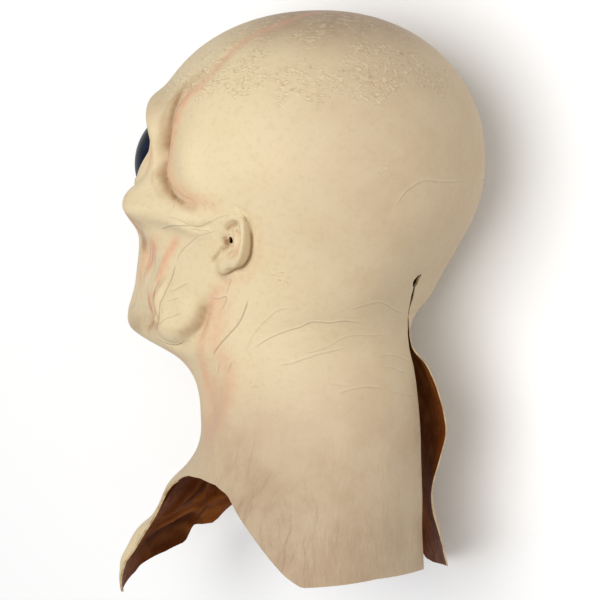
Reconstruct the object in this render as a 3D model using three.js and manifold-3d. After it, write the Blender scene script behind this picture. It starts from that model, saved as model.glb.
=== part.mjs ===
// An alien mask that is pulled over the whole head: one thin rubber skin, from the crown down to a
// hem that lies over the shoulders, with two dark eye lenses behind its eye openings.
//
// The skin is drawn as it is worn: x towards the wearer's left, y to the back, z up, in
// millimetres, with z = 0 at the lowest part of the chest flap. A point on it is given by its
// azimuth (0 at the nose, 90 at the left ear, 180 at the nape) and its height. At the end the mask
// is laid on its right side, face towards -X and crown towards +Y.

import * as THREE from 'three';
import { mergeVertices } from 'three/addons/utils/BufferGeometryUtils.js';
import Module from 'manifold-3d';

const wasm = await Module();
wasm.setup();

// Driving dimensions, in millimetres and degrees.
const CROWN_Z = 403.5;
const WIDEST_Z = 300;
const CROWN_Y = 2;
const WALL = 1.8;
const FLAT_SIDE = 95;
const EYE_CENTRE = new THREE.Vector3(31, -81, 297.5);
const EYE_RADIUS = 41.5;
const EYE_OPENING = { x: 38, z: 302, halfLength: 33, halfHeight: 24, tilt: 12, roundness: 1.9 };
const LENS_WALL = 2;
const EYE_BAR_LENGTH = 80;
const GAP = 0.4;
const SLIT_TOP_Z = 219;
const SLIT_GAP = 0.8;
const KEYHOLE = { x: 9.2, y: 80, z: 220.5, halfWidth: 2.9, halfHeight: 4.2, length: 40 };
const EAR_HOLE_RADIUS = 2.2;

// The grid that the skin is drawn on. Rows run crown, widest level, yoke, hem.
const COLUMNS = 52;
const CAP_ROWS = 10;
const HEAD_ROWS = 15;
const YOKE_ROWS = 6;
const YOKE_Z = 112;
const FRONT_DENSITY = 0.66;

// Level sections of the skin, from the widest level down: how far it reaches to the front and to
// the back, its half width, and how square it is in front and behind (2 is an ellipse).
const SECTIONS = [
  { z: 300, front: -122, back: 119, half: 99, squareFront: 2.1, squareBack: 2.1 },
  { z: 270, front: -126, back: 114, half: 93, squareFront: 2.2, squareBack: 2.2 },
  { z: 240, front: -133, back: 96.5, half: 83, squareFront: 2.2, squareBack: 2.6 },
  { z: 215, front: -140, back: 80, half: 76, squareFront: 2.1, squareBack: 3.0 },
  { z: 190, front: -147, back: 73, half: 71, squareFront: 2.0, squareBack: 2.2 },
  { z: 176, front: -145.5, back: 73, half: 69, squareFront: 2.0, squareBack: 2.0 },
  { z: 160, front: -107.5, back: 77, half: 67, squareFront: 2.0, squareBack: 2.1 },
  { z: 140, front: -88, back: 80, half: 68, squareFront: 2.0, squareBack: 2.2 },
  { z: 120, front: -84, back: 82, half: 71, squareFront: 2.0, squareBack: 2.3 },
  { z: 95, front: -88.5, back: 83, half: 78, squareFront: 2.0, squareBack: 2.3 },
  { z: 70, front: -109.5, back: 84, half: 89, squareFront: 2.0, squareBack: 2.3 },
  { z: 50, front: -122, back: 84, half: 95, squareFront: 2.0, squareBack: 2.3 },
  { z: 32, front: -139, back: 85, half: 100, squareFront: 2.0, squareBack: 2.3 },
  { z: 10, front: -151, back: 86, half: 103, squareFront: 2.0, squareBack: 2.3 },
  { z: -40, front: -149.5, back: 86, half: 107, squareFront: 2.0, squareBack: 2.3 },
];
const CAP_SQUARE = { front: 2.16, side: 2.1, back: 2.12 };

// The hem: azimuth and height of its corners, right nape, right arch, chest flap, left arch, nape.
const HEM = [
  [-180, 22.5], [-160, 15.3], [-140, 8.7], [-118, 4], [-111, 16], [-90, 58], [-81, 72], [-70, 81],
  [-58, 84], [-48, 76], [-42, 54], [-36, 26], [-33, 19.5], [-25, 20], [-24, 8], [-15, 0], [0, -6],
  [14, -12.5], [24, -15], [27, -12], [30, 14], [32, 40], [34, 57], [40, 76], [46, 81],
  [58, 83.5], [70, 82], [78.5, 77.5], [82.5, 72], [90, 58], [111, 30], [118, 23], [150, 25], [180, 21.5],
];

// How far the line of the slit runs to the wearer's left of the middle of the nape.
const SLIT_LINE = [
  { z: 178, left: 0 }, { z: 190, left: 0.6 }, { z: 195, left: 1.8 }, { z: 207, left: 2 },
  { z: 213, left: 4.1 }, { z: 217.5, left: 6.5 }, { z: 221, left: 9.2 }, { z: 228, left: 9 },
  { z: 262, left: 0 },
];
const SLIT_LINE_SPREAD = 22;

// The free edge of the right nape flap, which stands open from the slit.
const FLAP_ROOT_AZIMUTH = -118;
const FLAP_TOP_Z = 208;
const FLAP_BELLY = 3.5;
const FLAP_EDGE = [
  { z: 18, x: -12, y: 99 }, { z: 44, x: -10, y: 93 }, { z: 62, x: -8.5, y: 88 },
  { z: 78, x: -8, y: 88 }, { z: 98, x: -9.5, y: 93 }, { z: 118, x: -10, y: 97 },
  { z: 142, x: -9, y: 92 }, { z: 162, x: -6, y: 84 }, { z: 178, x: -1.5, y: 74 },
  { z: 215, x: 0, y: 77 },
];

// Folds and swellings of the face, alike on both sides. Each runs through a few points of the
// skin, given by azimuth and height, and stands out or sinks in by `rise` at its start, middle and
// end. `width` is how far it spreads, and `above` how far it spreads upwards where that differs.
const RELIEF = {
  templeCreaseTop: { along: [[84, 393], [74, 378], [67, 355], [63, 345]], rise: [0, -1.2, -2], width: 5 },
  templeCrease: {
    along: [[58, 345], [56, 318], [55, 306], [54.5, 296], [57, 285], [62, 278], [71, 272], [82, 268]],
    rise: [-2, -5, 0], width: 6.5,
  },
  templeSwelling: {
    along: [[76, 350], [72, 330], [70, 312], [70, 298], [73, 286], [80, 278], [90, 275]],
    rise: [0, 4.5, 0], width: 12,
  },
  eyeSocketRim: {
    along: [[10, 334], [24, 340], [34, 340], [43, 333], [49, 321], [50, 307], [47, 293], [42, 281]],
    rise: [2, 9, 3], width: 10,
  },
  cheekbone: {
    along: [[22, 269.5], [28, 268.5], [35, 267.5], [43, 266.5]], rise: [8, 15, 9], width: 15, above: 25,
  },
  cheekArch: {
    along: [[43, 268], [54, 265], [65, 261], [74, 258], [86, 262]], rise: [8, 6, 0], width: 7, above: 13,
  },
  cheekHollow: { along: [[38, 248], [46, 232], [50, 214]], rise: [-3, -6, -2], width: 13 },
  jowl: { along: [[56, 228], [57, 205], [60, 190]], rise: [1, 6, 6], width: 15 },
  jawCrease: { along: [[88, 224], [80, 204], [73, 186], [64, 175], [50, 169]], rise: [0, -4, -2], width: 8 },
  chin: { along: [[0, 188], [14, 188], [24, 192]], rise: [4, 4, 2], width: 12 },
  noseBridge: { along: [[0, 306], [0, 290], [0, 272]], rise: [3, 8, 12], width: 8 },
  noseTip: { along: [[0, 266], [0, 261]], rise: [6, 6, 5], width: 8 },
  nostrils: { along: [[4.5, 258], [7.5, 259]], rise: [3, 3, 3], width: 5 },
  eyeHollow: { along: [[8, 300], [14, 300], [22, 302]], rise: [-7, -10, -6], width: 12 },
  mouthLine: { along: [[0, 229], [10, 229], [19, 231]], rise: [-3, -3, 0], width: 4.5 },
  upperLip: { along: [[0, 236], [9, 236], [16, 234]], rise: [2, 2, 0], width: 4.5 },
  lowerLip: { along: [[0, 222], [9, 223], [15, 226]], rise: [3, 2.5, 0], width: 5 },
  chinCrease: { along: [[0, 209], [10, 210], [18, 214]], rise: [-4, -2.5, 0], width: 7 },
  throatCord: { along: [[50, 162], [40, 135], [34, 108]], rise: [0, 3, 0], width: 8 },
  neckCord: { along: [[88, 195], [76, 150], [62, 110], [56, 90]], rise: [0, 4, 0], width: 11 },
  throatHollow: { along: [[68, 155], [52, 125], [46, 100]], rise: [0, -4, 0], width: 8 },
};

// The ear's outline seen from the side: y and z of its edge from the top of the rim, going back
// and down to the lobe and up the front. It stands out more behind than in front.
const EAR = {
  rootX: 80,
  frontX: 84.3,
  backX: 96.5,
  frontY: -34,
  backY: 0,
  edge: [
    [-7, 267.3], [-2, 266], [0, 260], [0, 253], [-1.5, 245.5], [-4.5, 238.5], [-10.5, 232], [-18.5, 230.5],
    [-25.5, 232], [-30.5, 235], [-31.5, 238.5], [-28.5, 240], [-24, 246], [-24, 254], [-21, 261], [-14, 266],
  ],
  bowl: { y: -17, z: 249, x: 91.5, lengthY: 5.5, lengthZ: 8, depth: 6 },
  hole: { y: -15.7, z: 249.9 },
};

const COLOURS = { rubber: 0xd9bd92, lens: 0x0b1022 };

const radians = THREE.MathUtils.degToRad;
const clamp = THREE.MathUtils.clamp;
const lerp = THREE.MathUtils.lerp;

function smooth(value) {
  return THREE.MathUtils.smoothstep(value, 0, 1);
}

// A value read off a table of rows, on straight lines between them. Rows rise by `key`.
function readTable(rows, key, value, at) {
  const last = rows.length - 1;
  const above = rows.findIndex((row) => row[key] >= at);
  if (above === 0) return rows[0][value];
  if (above < 0) return rows[last][value];
  const low = rows[above - 1];
  const high = rows[above];
  return lerp(low[value], high[value], (at - low[key]) / (high[key] - low[key]));
}

// The same on a smooth line, which is level at the widest section.
function readSections(name, z) {
  const last = SECTIONS.length - 1;
  const slope = (k) => {
    if (k === 0) return 0;
    const above = SECTIONS[k - 1];
    const below = SECTIONS[Math.min(k + 1, last)];
    const here = SECTIONS[k];
    if (k === last) return (above[name] - here[name]) / (above.z - here.z);
    const stepUp = above.z - here.z;
    const stepDown = here.z - below.z;
    const riseUp = (above[name] - here[name]) / stepUp;
    const riseDown = (here[name] - below[name]) / stepDown;
    return (riseUp * stepDown + riseDown * stepUp) / (stepUp + stepDown);
  };
  let k = SECTIONS.findIndex((section) => section.z <= z);
  k = clamp(k, 1, last);
  const low = SECTIONS[k];
  const high = SECTIONS[k - 1];
  const step = high.z - low.z;
  const t = clamp((z - low.z) / step, 0, 1);
  return low[name] * (2 * t ** 3 - 3 * t ** 2 + 1)
    + slope(k) * step * (t ** 3 - 2 * t ** 2 + t)
    + high[name] * (3 * t ** 2 - 2 * t ** 3)
    + slope(k - 1) * step * (t ** 3 - t ** 2);
}

function hemHeight(azimuth) {
  return readTable(HEM, 0, 1, azimuth);
}

// A point of the level section at height z.
function sectionPoint(azimuth, z) {
  const front = readSections('front', z);
  const back = readSections('back', z);
  const half = readSections('half', z);
  const towardsFront = Math.cos(radians(azimuth));
  const sideways = Math.sin(radians(azimuth));
  const frontShare = 0.5 + 0.5 * towardsFront;
  const square = lerp(readSections('squareBack', z), readSections('squareFront', z), frontShare);
  const middle = (front + back) / 2 * clamp((z - 60) / 240, 0, 1);
  const reach = towardsFront > 0 ? middle - front : back - middle;
  const size = (Math.abs(towardsFront) ** square + Math.abs(sideways) ** square) ** (-1 / square);
  return new THREE.Vector3(half * sideways * size, middle - reach * towardsFront * size, z);
}

function capSquare(azimuth) {
  const towardsFront = Math.cos(radians(azimuth));
  const end = towardsFront > 0 ? CAP_SQUARE.front : CAP_SQUARE.back;
  return lerp(CAP_SQUARE.side, end, towardsFront ** 2);
}

// A point of the skull above the widest level; tilt is 0 at the crown and 90 at that level.
function capPoint(azimuth, tilt) {
  const square = capSquare(azimuth);
  const rim = sectionPoint(azimuth, WIDEST_Z);
  const out = Math.sin(radians(tilt)) ** (2 / square);
  const up = Math.max(Math.cos(radians(tilt)), 0) ** (2 / square);
  return new THREE.Vector3(rim.x * out, lerp(CROWN_Y, rim.y, out), lerp(WIDEST_Z, CROWN_Z, up));
}

// The right nape flap hangs nearly flat from the side of the neck to its free edge.
function openFlap(point, azimuth) {
  if (azimuth > FLAP_ROOT_AZIMUTH) return point;
  const root = sectionPoint(FLAP_ROOT_AZIMUTH, point.z);
  const share = (FLAP_ROOT_AZIMUTH - azimuth) / (180 + FLAP_ROOT_AZIMUTH);
  const belly = 4 * share * (1 - share) * FLAP_BELLY;
  const flat = new THREE.Vector3(
    lerp(root.x, readTable(FLAP_EDGE, 'z', 'x', point.z), share) - belly / 2,
    lerp(root.y, readTable(FLAP_EDGE, 'z', 'y', point.z), share) + belly,
    point.z,
  );
  return point.lerp(flat, smooth((FLAP_TOP_Z - point.z) / 28));
}

// Moves the nape sideways with the line of the slit.
function followSlit(point, azimuth) {
  const behind = smooth((Math.abs(azimuth) - 100) / 30);
  const near = Math.exp(-((point.x / SLIT_LINE_SPREAD) ** 2));
  point.x += readTable(SLIT_LINE, 'z', 'left', point.z) * behind * near;
  return point;
}

// The plain form at an azimuth and a height, before the relief.
function plainPoint(azimuth, z) {
  if (z <= WIDEST_Z) return sectionPoint(azimuth, z);
  const up = clamp((z - WIDEST_Z) / (CROWN_Z - WIDEST_Z), 0, 1);
  const tilt = THREE.MathUtils.radToDeg(Math.acos(up ** (capSquare(azimuth) / 2)));
  return capPoint(azimuth, tilt);
}

const reliefLines = Object.values(RELIEF).map((fold) => {
  const corners = fold.along.map(([azimuth, z]) => plainPoint(azimuth, z));
  const curve = new THREE.CatmullRomCurve3(corners, false, 'catmullrom', 0.5);
  return { ...fold, points: curve.getPoints(8 * (corners.length - 1)) };
});

// How far the relief lifts a point of the plain form. Both sides use the left side's folds.
function reliefHeight(point) {
  const mirrored = new THREE.Vector3(Math.abs(point.x), point.y, point.z);
  const nearest = new THREE.Vector3();
  let height = 0;
  for (const fold of reliefLines) {
    const steps = fold.points.length - 1;
    let distance = Infinity;
    let share = 0;
    let above = 0;
    for (let k = 0; k < steps; k += 1) {
      const line = new THREE.Line3(fold.points[k], fold.points[k + 1]);
      const along = line.closestPointToPointParameter(mirrored, true);
      line.at(along, nearest);
      const away = nearest.distanceTo(mirrored);
      if (away < distance) {
        distance = away;
        share = (k + along) / steps;
        above = mirrored.z - nearest.z;
      }
    }
    const [start, middle, end] = fold.rise;
    const rise = share < 0.5
      ? lerp(start, middle, smooth(2 * share))
      : lerp(middle, end, smooth(2 * share - 1));
    const width = lerp(fold.width, fold.above ?? fold.width, smooth(0.5 + above / 8));
    height += rise * Math.exp(-((distance / width) ** 2));
  }
  return height;
}

// Where a point lies against the eye opening: 1 on its edge, less inside.
function eyeShare(x, z) {
  const tilt = radians(EYE_OPENING.tilt);
  const right = x - EYE_OPENING.x;
  const up = z - EYE_OPENING.z;
  const along = (right * Math.cos(tilt) + up * Math.sin(tilt)) / EYE_OPENING.halfLength;
  const across = (up * Math.cos(tilt) - right * Math.sin(tilt)) / EYE_OPENING.halfHeight;
  const power = EYE_OPENING.roundness;
  return (Math.abs(along) ** power + Math.abs(across) ** power) ** (1 / power);
}

// The eyelids lie on the round of the lens, and run out into the face around it.
function wrapEyelid(point) {
  if (point.y > -60) return;
  const side = Math.sign(point.x) || 1;
  const centre = new THREE.Vector3(side * EYE_CENTRE.x, EYE_CENTRE.y, EYE_CENTRE.z);
  const lid = point.clone().sub(centre).setLength(EYE_RADIUS + GAP + WALL).add(centre);
  point.lerp(lid, 1 - smooth((eyeShare(Math.abs(point.x), point.z) - 1.12) / 0.45));
}

// The grid of the skin's outer face: rows of points from the crown to the hem.
function outerGrid() {
  const rows = CAP_ROWS + HEAD_ROWS + YOKE_ROWS;
  const grid = [];
  for (let row = 0; row <= rows; row += 1) {
    const line = [];
    for (let column = 0; column <= COLUMNS; column += 1) {
      const s = 2 * column / COLUMNS - 1;
      const azimuth = 180 * s * (FRONT_DENSITY + (1 - FRONT_DENSITY) * s * s);
      if (row <= CAP_ROWS) {
        line.push(capPoint(azimuth, 90 * row / CAP_ROWS));
      } else {
        const yokeRow = row - CAP_ROWS - HEAD_ROWS;
        const z = yokeRow <= 0
          ? lerp(WIDEST_Z, YOKE_Z, (row - CAP_ROWS) / HEAD_ROWS)
          : lerp(YOKE_Z, hemHeight(azimuth), yokeRow / YOKE_ROWS);
        line.push(followSlit(openFlap(sectionPoint(azimuth, z), azimuth), azimuth));
      }
    }
    grid.push(line);
  }
  return grid;
}

// The outer face as a mesh, welded down the back as far as the top of the slit.
function outerFace() {
  const grid = outerGrid();
  const points = [];
  const index = grid.map((line, row) => line.map((point, column) => {
    if (row === 0 && column > 0) return 0;
    const welded = column === COLUMNS && point.z > SLIT_TOP_Z;
    points.push(point);
    return welded ? -1 : points.length - 1;
  }));
  index.forEach((line) => line.forEach((id, column) => {
    if (id < 0) line[column] = line[0];
  }));
  const triangles = [];
  const add = (a, b, c) => {
    if (a !== b && b !== c && c !== a) triangles.push(a, b, c);
  };
  for (let row = 0; row + 1 < grid.length; row += 1) {
    for (let column = 0; column < COLUMNS; column += 1) {
      const a = index[row][column];
      const b = index[row][column + 1];
      const c = index[row + 1][column + 1];
      const d = index[row + 1][column];
      add(a, d, c);
      add(a, c, b);
    }
  }
  const last = grid.length - 1;
  for (let row = CAP_ROWS; row <= last; row += 1) {
    const left = grid[row][COLUMNS];
    const right = grid[row][0];
    if (left.z > SLIT_TOP_Z) continue;
    left.x += SLIT_GAP / 2;
    right.x = Math.min(right.x, left.x - SLIT_GAP);
  }
  return { points, triangles };
}

function asGeometry(points, triangles) {
  const geometry = new THREE.BufferGeometry();
  const values = points.flatMap((point) => point.toArray());
  geometry.setAttribute('position', new THREE.Float32BufferAttribute(values, 3));
  geometry.setIndex(triangles);
  return geometry;
}

function facesOut(points, triangles) {
  const geometry = asGeometry(points, triangles);
  geometry.computeVertexNormals();
  const normal = geometry.getAttribute('normal');
  return points.map((point, k) => new THREE.Vector3().fromBufferAttribute(normal, k));
}

// Gives a face a wall of even thickness: the same face again inside it, joined along all edges.
function thicken(points, triangles, wall) {
  const normals = facesOut(points, triangles);
  const inner = points.map((point, k) => point.clone().addScaledVector(normals[k], -wall));
  const count = points.length;
  const all = [...triangles];
  const edges = new Set();
  for (let k = 0; k < triangles.length; k += 3) {
    const [a, b, c] = triangles.slice(k, k + 3);
    all.push(a + count, c + count, b + count);
    edges.add(`${a} ${b}`).add(`${b} ${c}`).add(`${c} ${a}`);
  }
  for (const edge of edges) {
    const [a, b] = edge.split(' ').map(Number);
    if (edges.has(`${b} ${a}`)) continue;
    all.push(b, a, a + count, b, a + count, b + count);
  }
  return asGeometry([...points, ...inner], all);
}

function toSolid(geometry) {
  const plain = geometry.clone();
  plain.deleteAttribute('normal');
  plain.deleteAttribute('uv');
  const merged = mergeVertices(plain, 1e-4);
  const mesh = new wasm.Mesh({
    numProp: 3,
    vertProperties: new Float32Array(merged.getAttribute('position').array),
    triVerts: new Uint32Array(merged.getIndex().array),
  });
  return new wasm.Manifold(mesh);
}

function fromSolid(solid) {
  const mesh = solid.getMesh();
  const geometry = new THREE.BufferGeometry();
  geometry.setAttribute('position', new THREE.Float32BufferAttribute(mesh.vertProperties, 3));
  geometry.setIndex(new THREE.Uint32BufferAttribute(mesh.triVerts, 1));
  return geometry;
}

// A straight bar along y with the outline of the eye opening, widened by `scale`.
function eyeBar(side, scale, sides) {
  const tilt = radians(EYE_OPENING.tilt);
  const outline = new THREE.Shape();
  for (let k = 0; k < sides; k += 1) {
    const turn = 2 * Math.PI * k / sides;
    const power = 2 / EYE_OPENING.roundness;
    const along = Math.sign(Math.cos(turn)) * Math.abs(Math.cos(turn)) ** power;
    const across = Math.sign(Math.sin(turn)) * Math.abs(Math.sin(turn)) ** power;
    const u = along * EYE_OPENING.halfLength * scale;
    const v = across * EYE_OPENING.halfHeight * scale;
    const x = side * (EYE_OPENING.x + u * Math.cos(tilt) - v * Math.sin(tilt));
    const z = EYE_OPENING.z + u * Math.sin(tilt) + v * Math.cos(tilt);
    if (k === 0) outline.moveTo(x, z);
    else outline.lineTo(x, z);
  }
  const bar = new THREE.ExtrudeGeometry(outline, { depth: EYE_BAR_LENGTH, bevelEnabled: false });
  bar.rotateX(Math.PI / 2);
  bar.translate(0, EYE_CENTRE.y - LENS_WALL, 0);
  return toSolid(bar);
}

function eyeBall(side, radius) {
  const ball = new THREE.SphereGeometry(radius, 24, 16);
  ball.translate(side * EYE_CENTRE.x, EYE_CENTRE.y, EYE_CENTRE.z);
  return toSolid(ball);
}

// A dark lens: a slice of a thin ball, a little larger than the opening it shows through.
function lens(side) {
  const shell = eyeBall(side, EYE_RADIUS).subtract(eyeBall(side, EYE_RADIUS - LENS_WALL));
  return fromSolid(shell.intersect(eyeBar(side, 1.1, 20)));
}

// A pin along x, used for the ear hole.
function sidePin(side, y, z, radius) {
  const pin = new THREE.CylinderGeometry(radius, radius, 40, 10);
  pin.rotateZ(Math.PI / 2);
  pin.translate(side * 85, y, z);
  return toSolid(pin);
}

// One ear: a leaf with a rounded rim, set against the head, hollowed by a bowl.
function ear(side) {
  const curve = new THREE.SplineCurve([...EAR.edge, EAR.edge[0]].map(([y, z]) => new THREE.Vector2(y, z)));
  const outline = new THREE.Shape(curve.getPoints(22).slice(0, -1));
  const leaf = new THREE.ExtrudeGeometry(outline, {
    depth: 1, bevelEnabled: true, bevelThickness: 1, bevelSize: 2, bevelOffset: -2, bevelSegments: 2,
  });
  const place = leaf.getAttribute('position');
  for (let k = 0; k < place.count; k += 1) {
    const y = place.getX(k);
    const z = place.getY(k);
    const outwards = clamp((place.getZ(k) + 1) / 3, 0, 1);
    const back = clamp((y - EAR.frontY) / (EAR.backY - EAR.frontY), 0, 1);
    const top = lerp(EAR.frontX, EAR.backX, back);
    place.setXYZ(k, Math.max(side * lerp(EAR.rootX, top, outwards), -FLAT_SIDE), y, z);
  }
  if (side < 0) flipFaces(leaf);
  const bowl = new THREE.SphereGeometry(1, 14, 10);
  bowl.scale(EAR.bowl.depth, EAR.bowl.lengthY, EAR.bowl.lengthZ);
  bowl.translate(side * EAR.bowl.x, EAR.bowl.y, EAR.bowl.z);
  return toSolid(leaf).subtract(toSolid(bowl));
}

// Turns loose triangles over.
function flipFaces(geometry) {
  const place = geometry.getAttribute('position');
  const first = new THREE.Vector3();
  const second = new THREE.Vector3();
  for (let k = 0; k < place.count; k += 3) {
    first.fromBufferAttribute(place, k);
    second.fromBufferAttribute(place, k + 1);
    place.setXYZ(k, second.x, second.y, second.z);
    place.setXYZ(k + 1, first.x, first.y, first.z);
  }
}

function skin() {
  const face = outerFace();
  const lift = face.points.map(reliefHeight);
  const normals = facesOut(face.points, face.triangles);
  face.points.forEach((point, k) => {
    point.addScaledVector(normals[k], lift[k]);
    wrapEyelid(point);
    point.x = Math.max(point.x, -FLAT_SIDE);
  });
  let solid = toSolid(thicken(face.points, face.triangles, WALL));
  for (const side of [1, -1]) {
    solid = solid.add(ear(side));
    solid = solid.subtract(sidePin(side, EAR.hole.y, EAR.hole.z, EAR_HOLE_RADIUS));
    solid = solid.subtract(eyeBar(side, 1, 24));
    const room = eyeBall(side, EYE_RADIUS + GAP).intersect(eyeBar(side, 1.2, 20));
    solid = solid.subtract(room);
  }
  const keyhole = new THREE.CylinderGeometry(1, 1, KEYHOLE.length, 12);
  keyhole.scale(KEYHOLE.halfWidth, 1, KEYHOLE.halfHeight);
  keyhole.translate(KEYHOLE.x, KEYHOLE.y, KEYHOLE.z);
  return fromSolid(solid.subtract(toSolid(keyhole)));
}

// From the mask as worn to the mask lying on its right side.
function layDown(geometry) {
  const place = geometry.getAttribute('position');
  for (let k = 0; k < place.count; k += 1) {
    const [x, y, z] = [place.getX(k), place.getY(k), place.getZ(k)];
    place.setXYZ(k, y, z, x + FLAT_SIDE);
  }
  return geometry;
}

const rubber = new THREE.MeshStandardMaterial({ color: COLOURS.rubber, roughness: 0.6, metalness: 0 });
const smoked = new THREE.MeshStandardMaterial({ color: COLOURS.lens, roughness: 0.12, metalness: 0 });

const mask = new THREE.Group();
const pieces = { latex_skin: [skin(), rubber], lens_left: [lens(1), smoked], lens_right: [lens(-1), smoked] };
for (const [name, [geometry, material]] of Object.entries(pieces)) {
  const mesh = new THREE.Mesh(layDown(geometry), material.clone());
  mesh.name = name;
  mask.add(mesh);
}

// The origin: under the middle of the box that the mask fills as it lies.
const box = new THREE.Box3().setFromObject(mask);
mask.position.set(-(box.min.x + box.max.x) / 2, -(box.min.y + box.max.y) / 2, -box.min.z);

export default mask;
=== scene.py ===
import bmesh
import bpy
import numpy as np
from mathutils import Matrix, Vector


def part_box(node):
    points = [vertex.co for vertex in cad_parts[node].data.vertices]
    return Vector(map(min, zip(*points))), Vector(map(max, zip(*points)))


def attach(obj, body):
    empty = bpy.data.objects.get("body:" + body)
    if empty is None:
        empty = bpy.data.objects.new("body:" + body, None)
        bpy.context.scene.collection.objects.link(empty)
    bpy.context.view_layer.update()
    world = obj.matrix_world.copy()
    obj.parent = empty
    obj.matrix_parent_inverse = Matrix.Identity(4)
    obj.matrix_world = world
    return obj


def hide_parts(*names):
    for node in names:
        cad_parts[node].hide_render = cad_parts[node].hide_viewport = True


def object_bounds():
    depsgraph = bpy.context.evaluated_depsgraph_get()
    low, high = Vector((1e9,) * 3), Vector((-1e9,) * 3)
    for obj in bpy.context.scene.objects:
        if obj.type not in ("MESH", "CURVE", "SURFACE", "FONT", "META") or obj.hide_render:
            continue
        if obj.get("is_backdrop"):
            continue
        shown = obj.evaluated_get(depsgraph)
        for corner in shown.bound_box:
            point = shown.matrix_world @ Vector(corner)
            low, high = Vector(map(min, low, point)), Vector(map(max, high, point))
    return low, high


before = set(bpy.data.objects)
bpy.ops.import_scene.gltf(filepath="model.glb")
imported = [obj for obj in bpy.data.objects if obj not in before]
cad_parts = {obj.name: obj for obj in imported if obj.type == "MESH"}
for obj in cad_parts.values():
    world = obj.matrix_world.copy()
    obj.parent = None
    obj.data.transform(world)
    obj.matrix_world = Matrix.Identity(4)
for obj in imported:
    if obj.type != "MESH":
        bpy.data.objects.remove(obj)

cad_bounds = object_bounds()

# The skin, worn shape. The real mask is one slush-cast wall of latex that takes the shape of a
# sculpted head. It is drawn here as it is worn, in millimetres: x to the wearer's left, y to the
# back, z up. A place on it is an azimuth (0 nose, 90 left ear, 180 nape) and a height.
CROWN_Z, WIDEST_Z, YOKE_Z = 403.5, 300.0, 112.0
CROWN_Y, BACK_Y = 2.0, 119.0
FLAT_SIDE = 95.0
WALL = 1.8

# Level sections: height, reach to the front and the back, half width, squareness front and back.
SECTIONS = np.array([
    (300, -122, 119, 99, 2.1, 2.1), (270, -126, 114, 93, 2.2, 2.2), (240, -133, 96.5, 83, 2.2, 2.6),
    (215, -140, 80, 76, 2.1, 3.0), (190, -147, 73, 71, 2.0, 2.2), (176, -145.5, 73, 69, 2.0, 2.0),
    (160, -107.5, 77, 67, 2.0, 2.1), (140, -88, 80, 68, 2.0, 2.2), (120, -84, 82, 71, 2.0, 2.3),
    (95, -87, 83, 78, 2.0, 2.3), (84, -94.8, 83.5, 82.6, 2.0, 2.3), (70, -109.5, 84, 89, 2.0, 2.3),
    (50, -120.4, 84, 95, 2.0, 2.3), (43, -125.4, 84.3, 97, 2.0, 2.3), (32, -138.2, 85, 100, 2.0, 2.3),
    (10, -149.5, 86, 103, 2.0, 2.3), (-40, -149.5, 86, 107, 2.0, 2.3)])
FRONT, BACK, HALF, SQUARE_FRONT, SQUARE_BACK = 1, 2, 3, 4, 5
CAP_SQUARE_FRONT, CAP_SQUARE_SIDE, CAP_SQUARE_BACK = 2.16, 2.1, 2.12

# The hem: azimuth and height of its corners, from the right nape round the front to the left nape.
HEM = np.array([
    (-180, 22.5), (-172, 19.8), (-160, 15.3), (-150, 12), (-140, 8.7), (-130, 5.6), (-118, 4),
    (-111, 16), (-90, 58),
    (-81, 72), (-70, 81), (-58, 84), (-48, 76), (-42, 54), (-37, 33), (-34.7, 23), (-33, 19.5),
    (-29, 19), (-25, 20), (-24.2, 17), (-24, 8), (-22.5, 5), (-15, 0), (0, -6), (4, -9), (14, -12.5),
    (23, -15), (25, -12.5), (26.5, -7), (27.3, 4), (27.8, 14), (28, 23), (29.2, 31), (31, 38),
    (31.8, 46), (32.2, 57), (34, 71), (40, 79), (46, 82),
    (58, 83.5), (70, 82), (78.5, 77.5), (82.5, 72), (90, 58), (111, 30), (118, 23.2), (150, 25),
    (180, 21.5)])

# The right nape flap stands open from the slit: height, x and y of its free edge.
FLAP_ROOT, FLAP_TOP_Z, FLAP_BELLY = -118.0, 208.0, 3.5
FLAP_EDGE = np.array([
    (18, -12, 99), (44, -10, 93), (62, -8.5, 88), (78, -8, 88), (98, -9.5, 93), (118, -10, 97),
    (142, -9, 92), (162, -6, 84), (178, -1.5, 74), (215, 0, 77)])

# The slit: how far it runs to the left of the middle, how deep a furrow it lies in, and half its
# gap, each by height. The keyhole at its top is an oval.
SLIT_SHIFT = np.array([(178, 0), (190, 0.6), (195, 1.8), (201, 2.1), (207, 2), (213, 4.1),
                       (217.5, 6.5), (221, 9.4), (228, 9), (262, 0)])
SLIT_FURROW = np.array([(176, 0), (190, 0.6), (201, 1), (217, 1), (240, 0)])
SLIT_GAP = np.array([(178, 0.3), (196, 0.3), (199, 0.5), (203, 1.0), (207, 1.6), (210, 1.9),
                     (213, 1.6), (217, 1.2)])
SLIT_TOP_Z = 217.0
KEYHOLE_Z, KEYHOLE_HALF_WIDTH, KEYHOLE_HALF_HEIGHT = 221, 3.9, 4.8

# The sheet is drawn flat and wrapped on: columns run round, rows from crown to hem.
COLUMNS, ROWS = 104, 67
CAP_ROWS, HEAD_ROWS = 21, 32
FRONT_DENSITY = 0.8
WELD_REACH = 0.00001
SKULL_MIDDLE = np.array([0, 0, 250])


def smooth(share):
    share = np.clip(share, 0, 1)
    return share * share * (3 - 2 * share)


def smooth_line(corners, steps=8):
    """A line through the corners without kinks."""
    corners = np.asarray(corners, float)
    ends = np.vstack([2 * corners[0] - corners[1], corners, 2 * corners[-1] - corners[-2]])
    line = []
    for p0, p1, p2, p3 in zip(ends[:-3], ends[1:-2], ends[2:-1], ends[3:]):
        t = np.arange(steps)[:, None] / steps
        line.append(0.5 * (2 * p1 + (p2 - p0) * t + (2 * p0 - 5 * p1 + 4 * p2 - p3) * t**2
                           + (3 * p1 - p0 - 3 * p2 + p3) * t**3))
    return np.vstack(line + [corners[-1:]])


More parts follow.
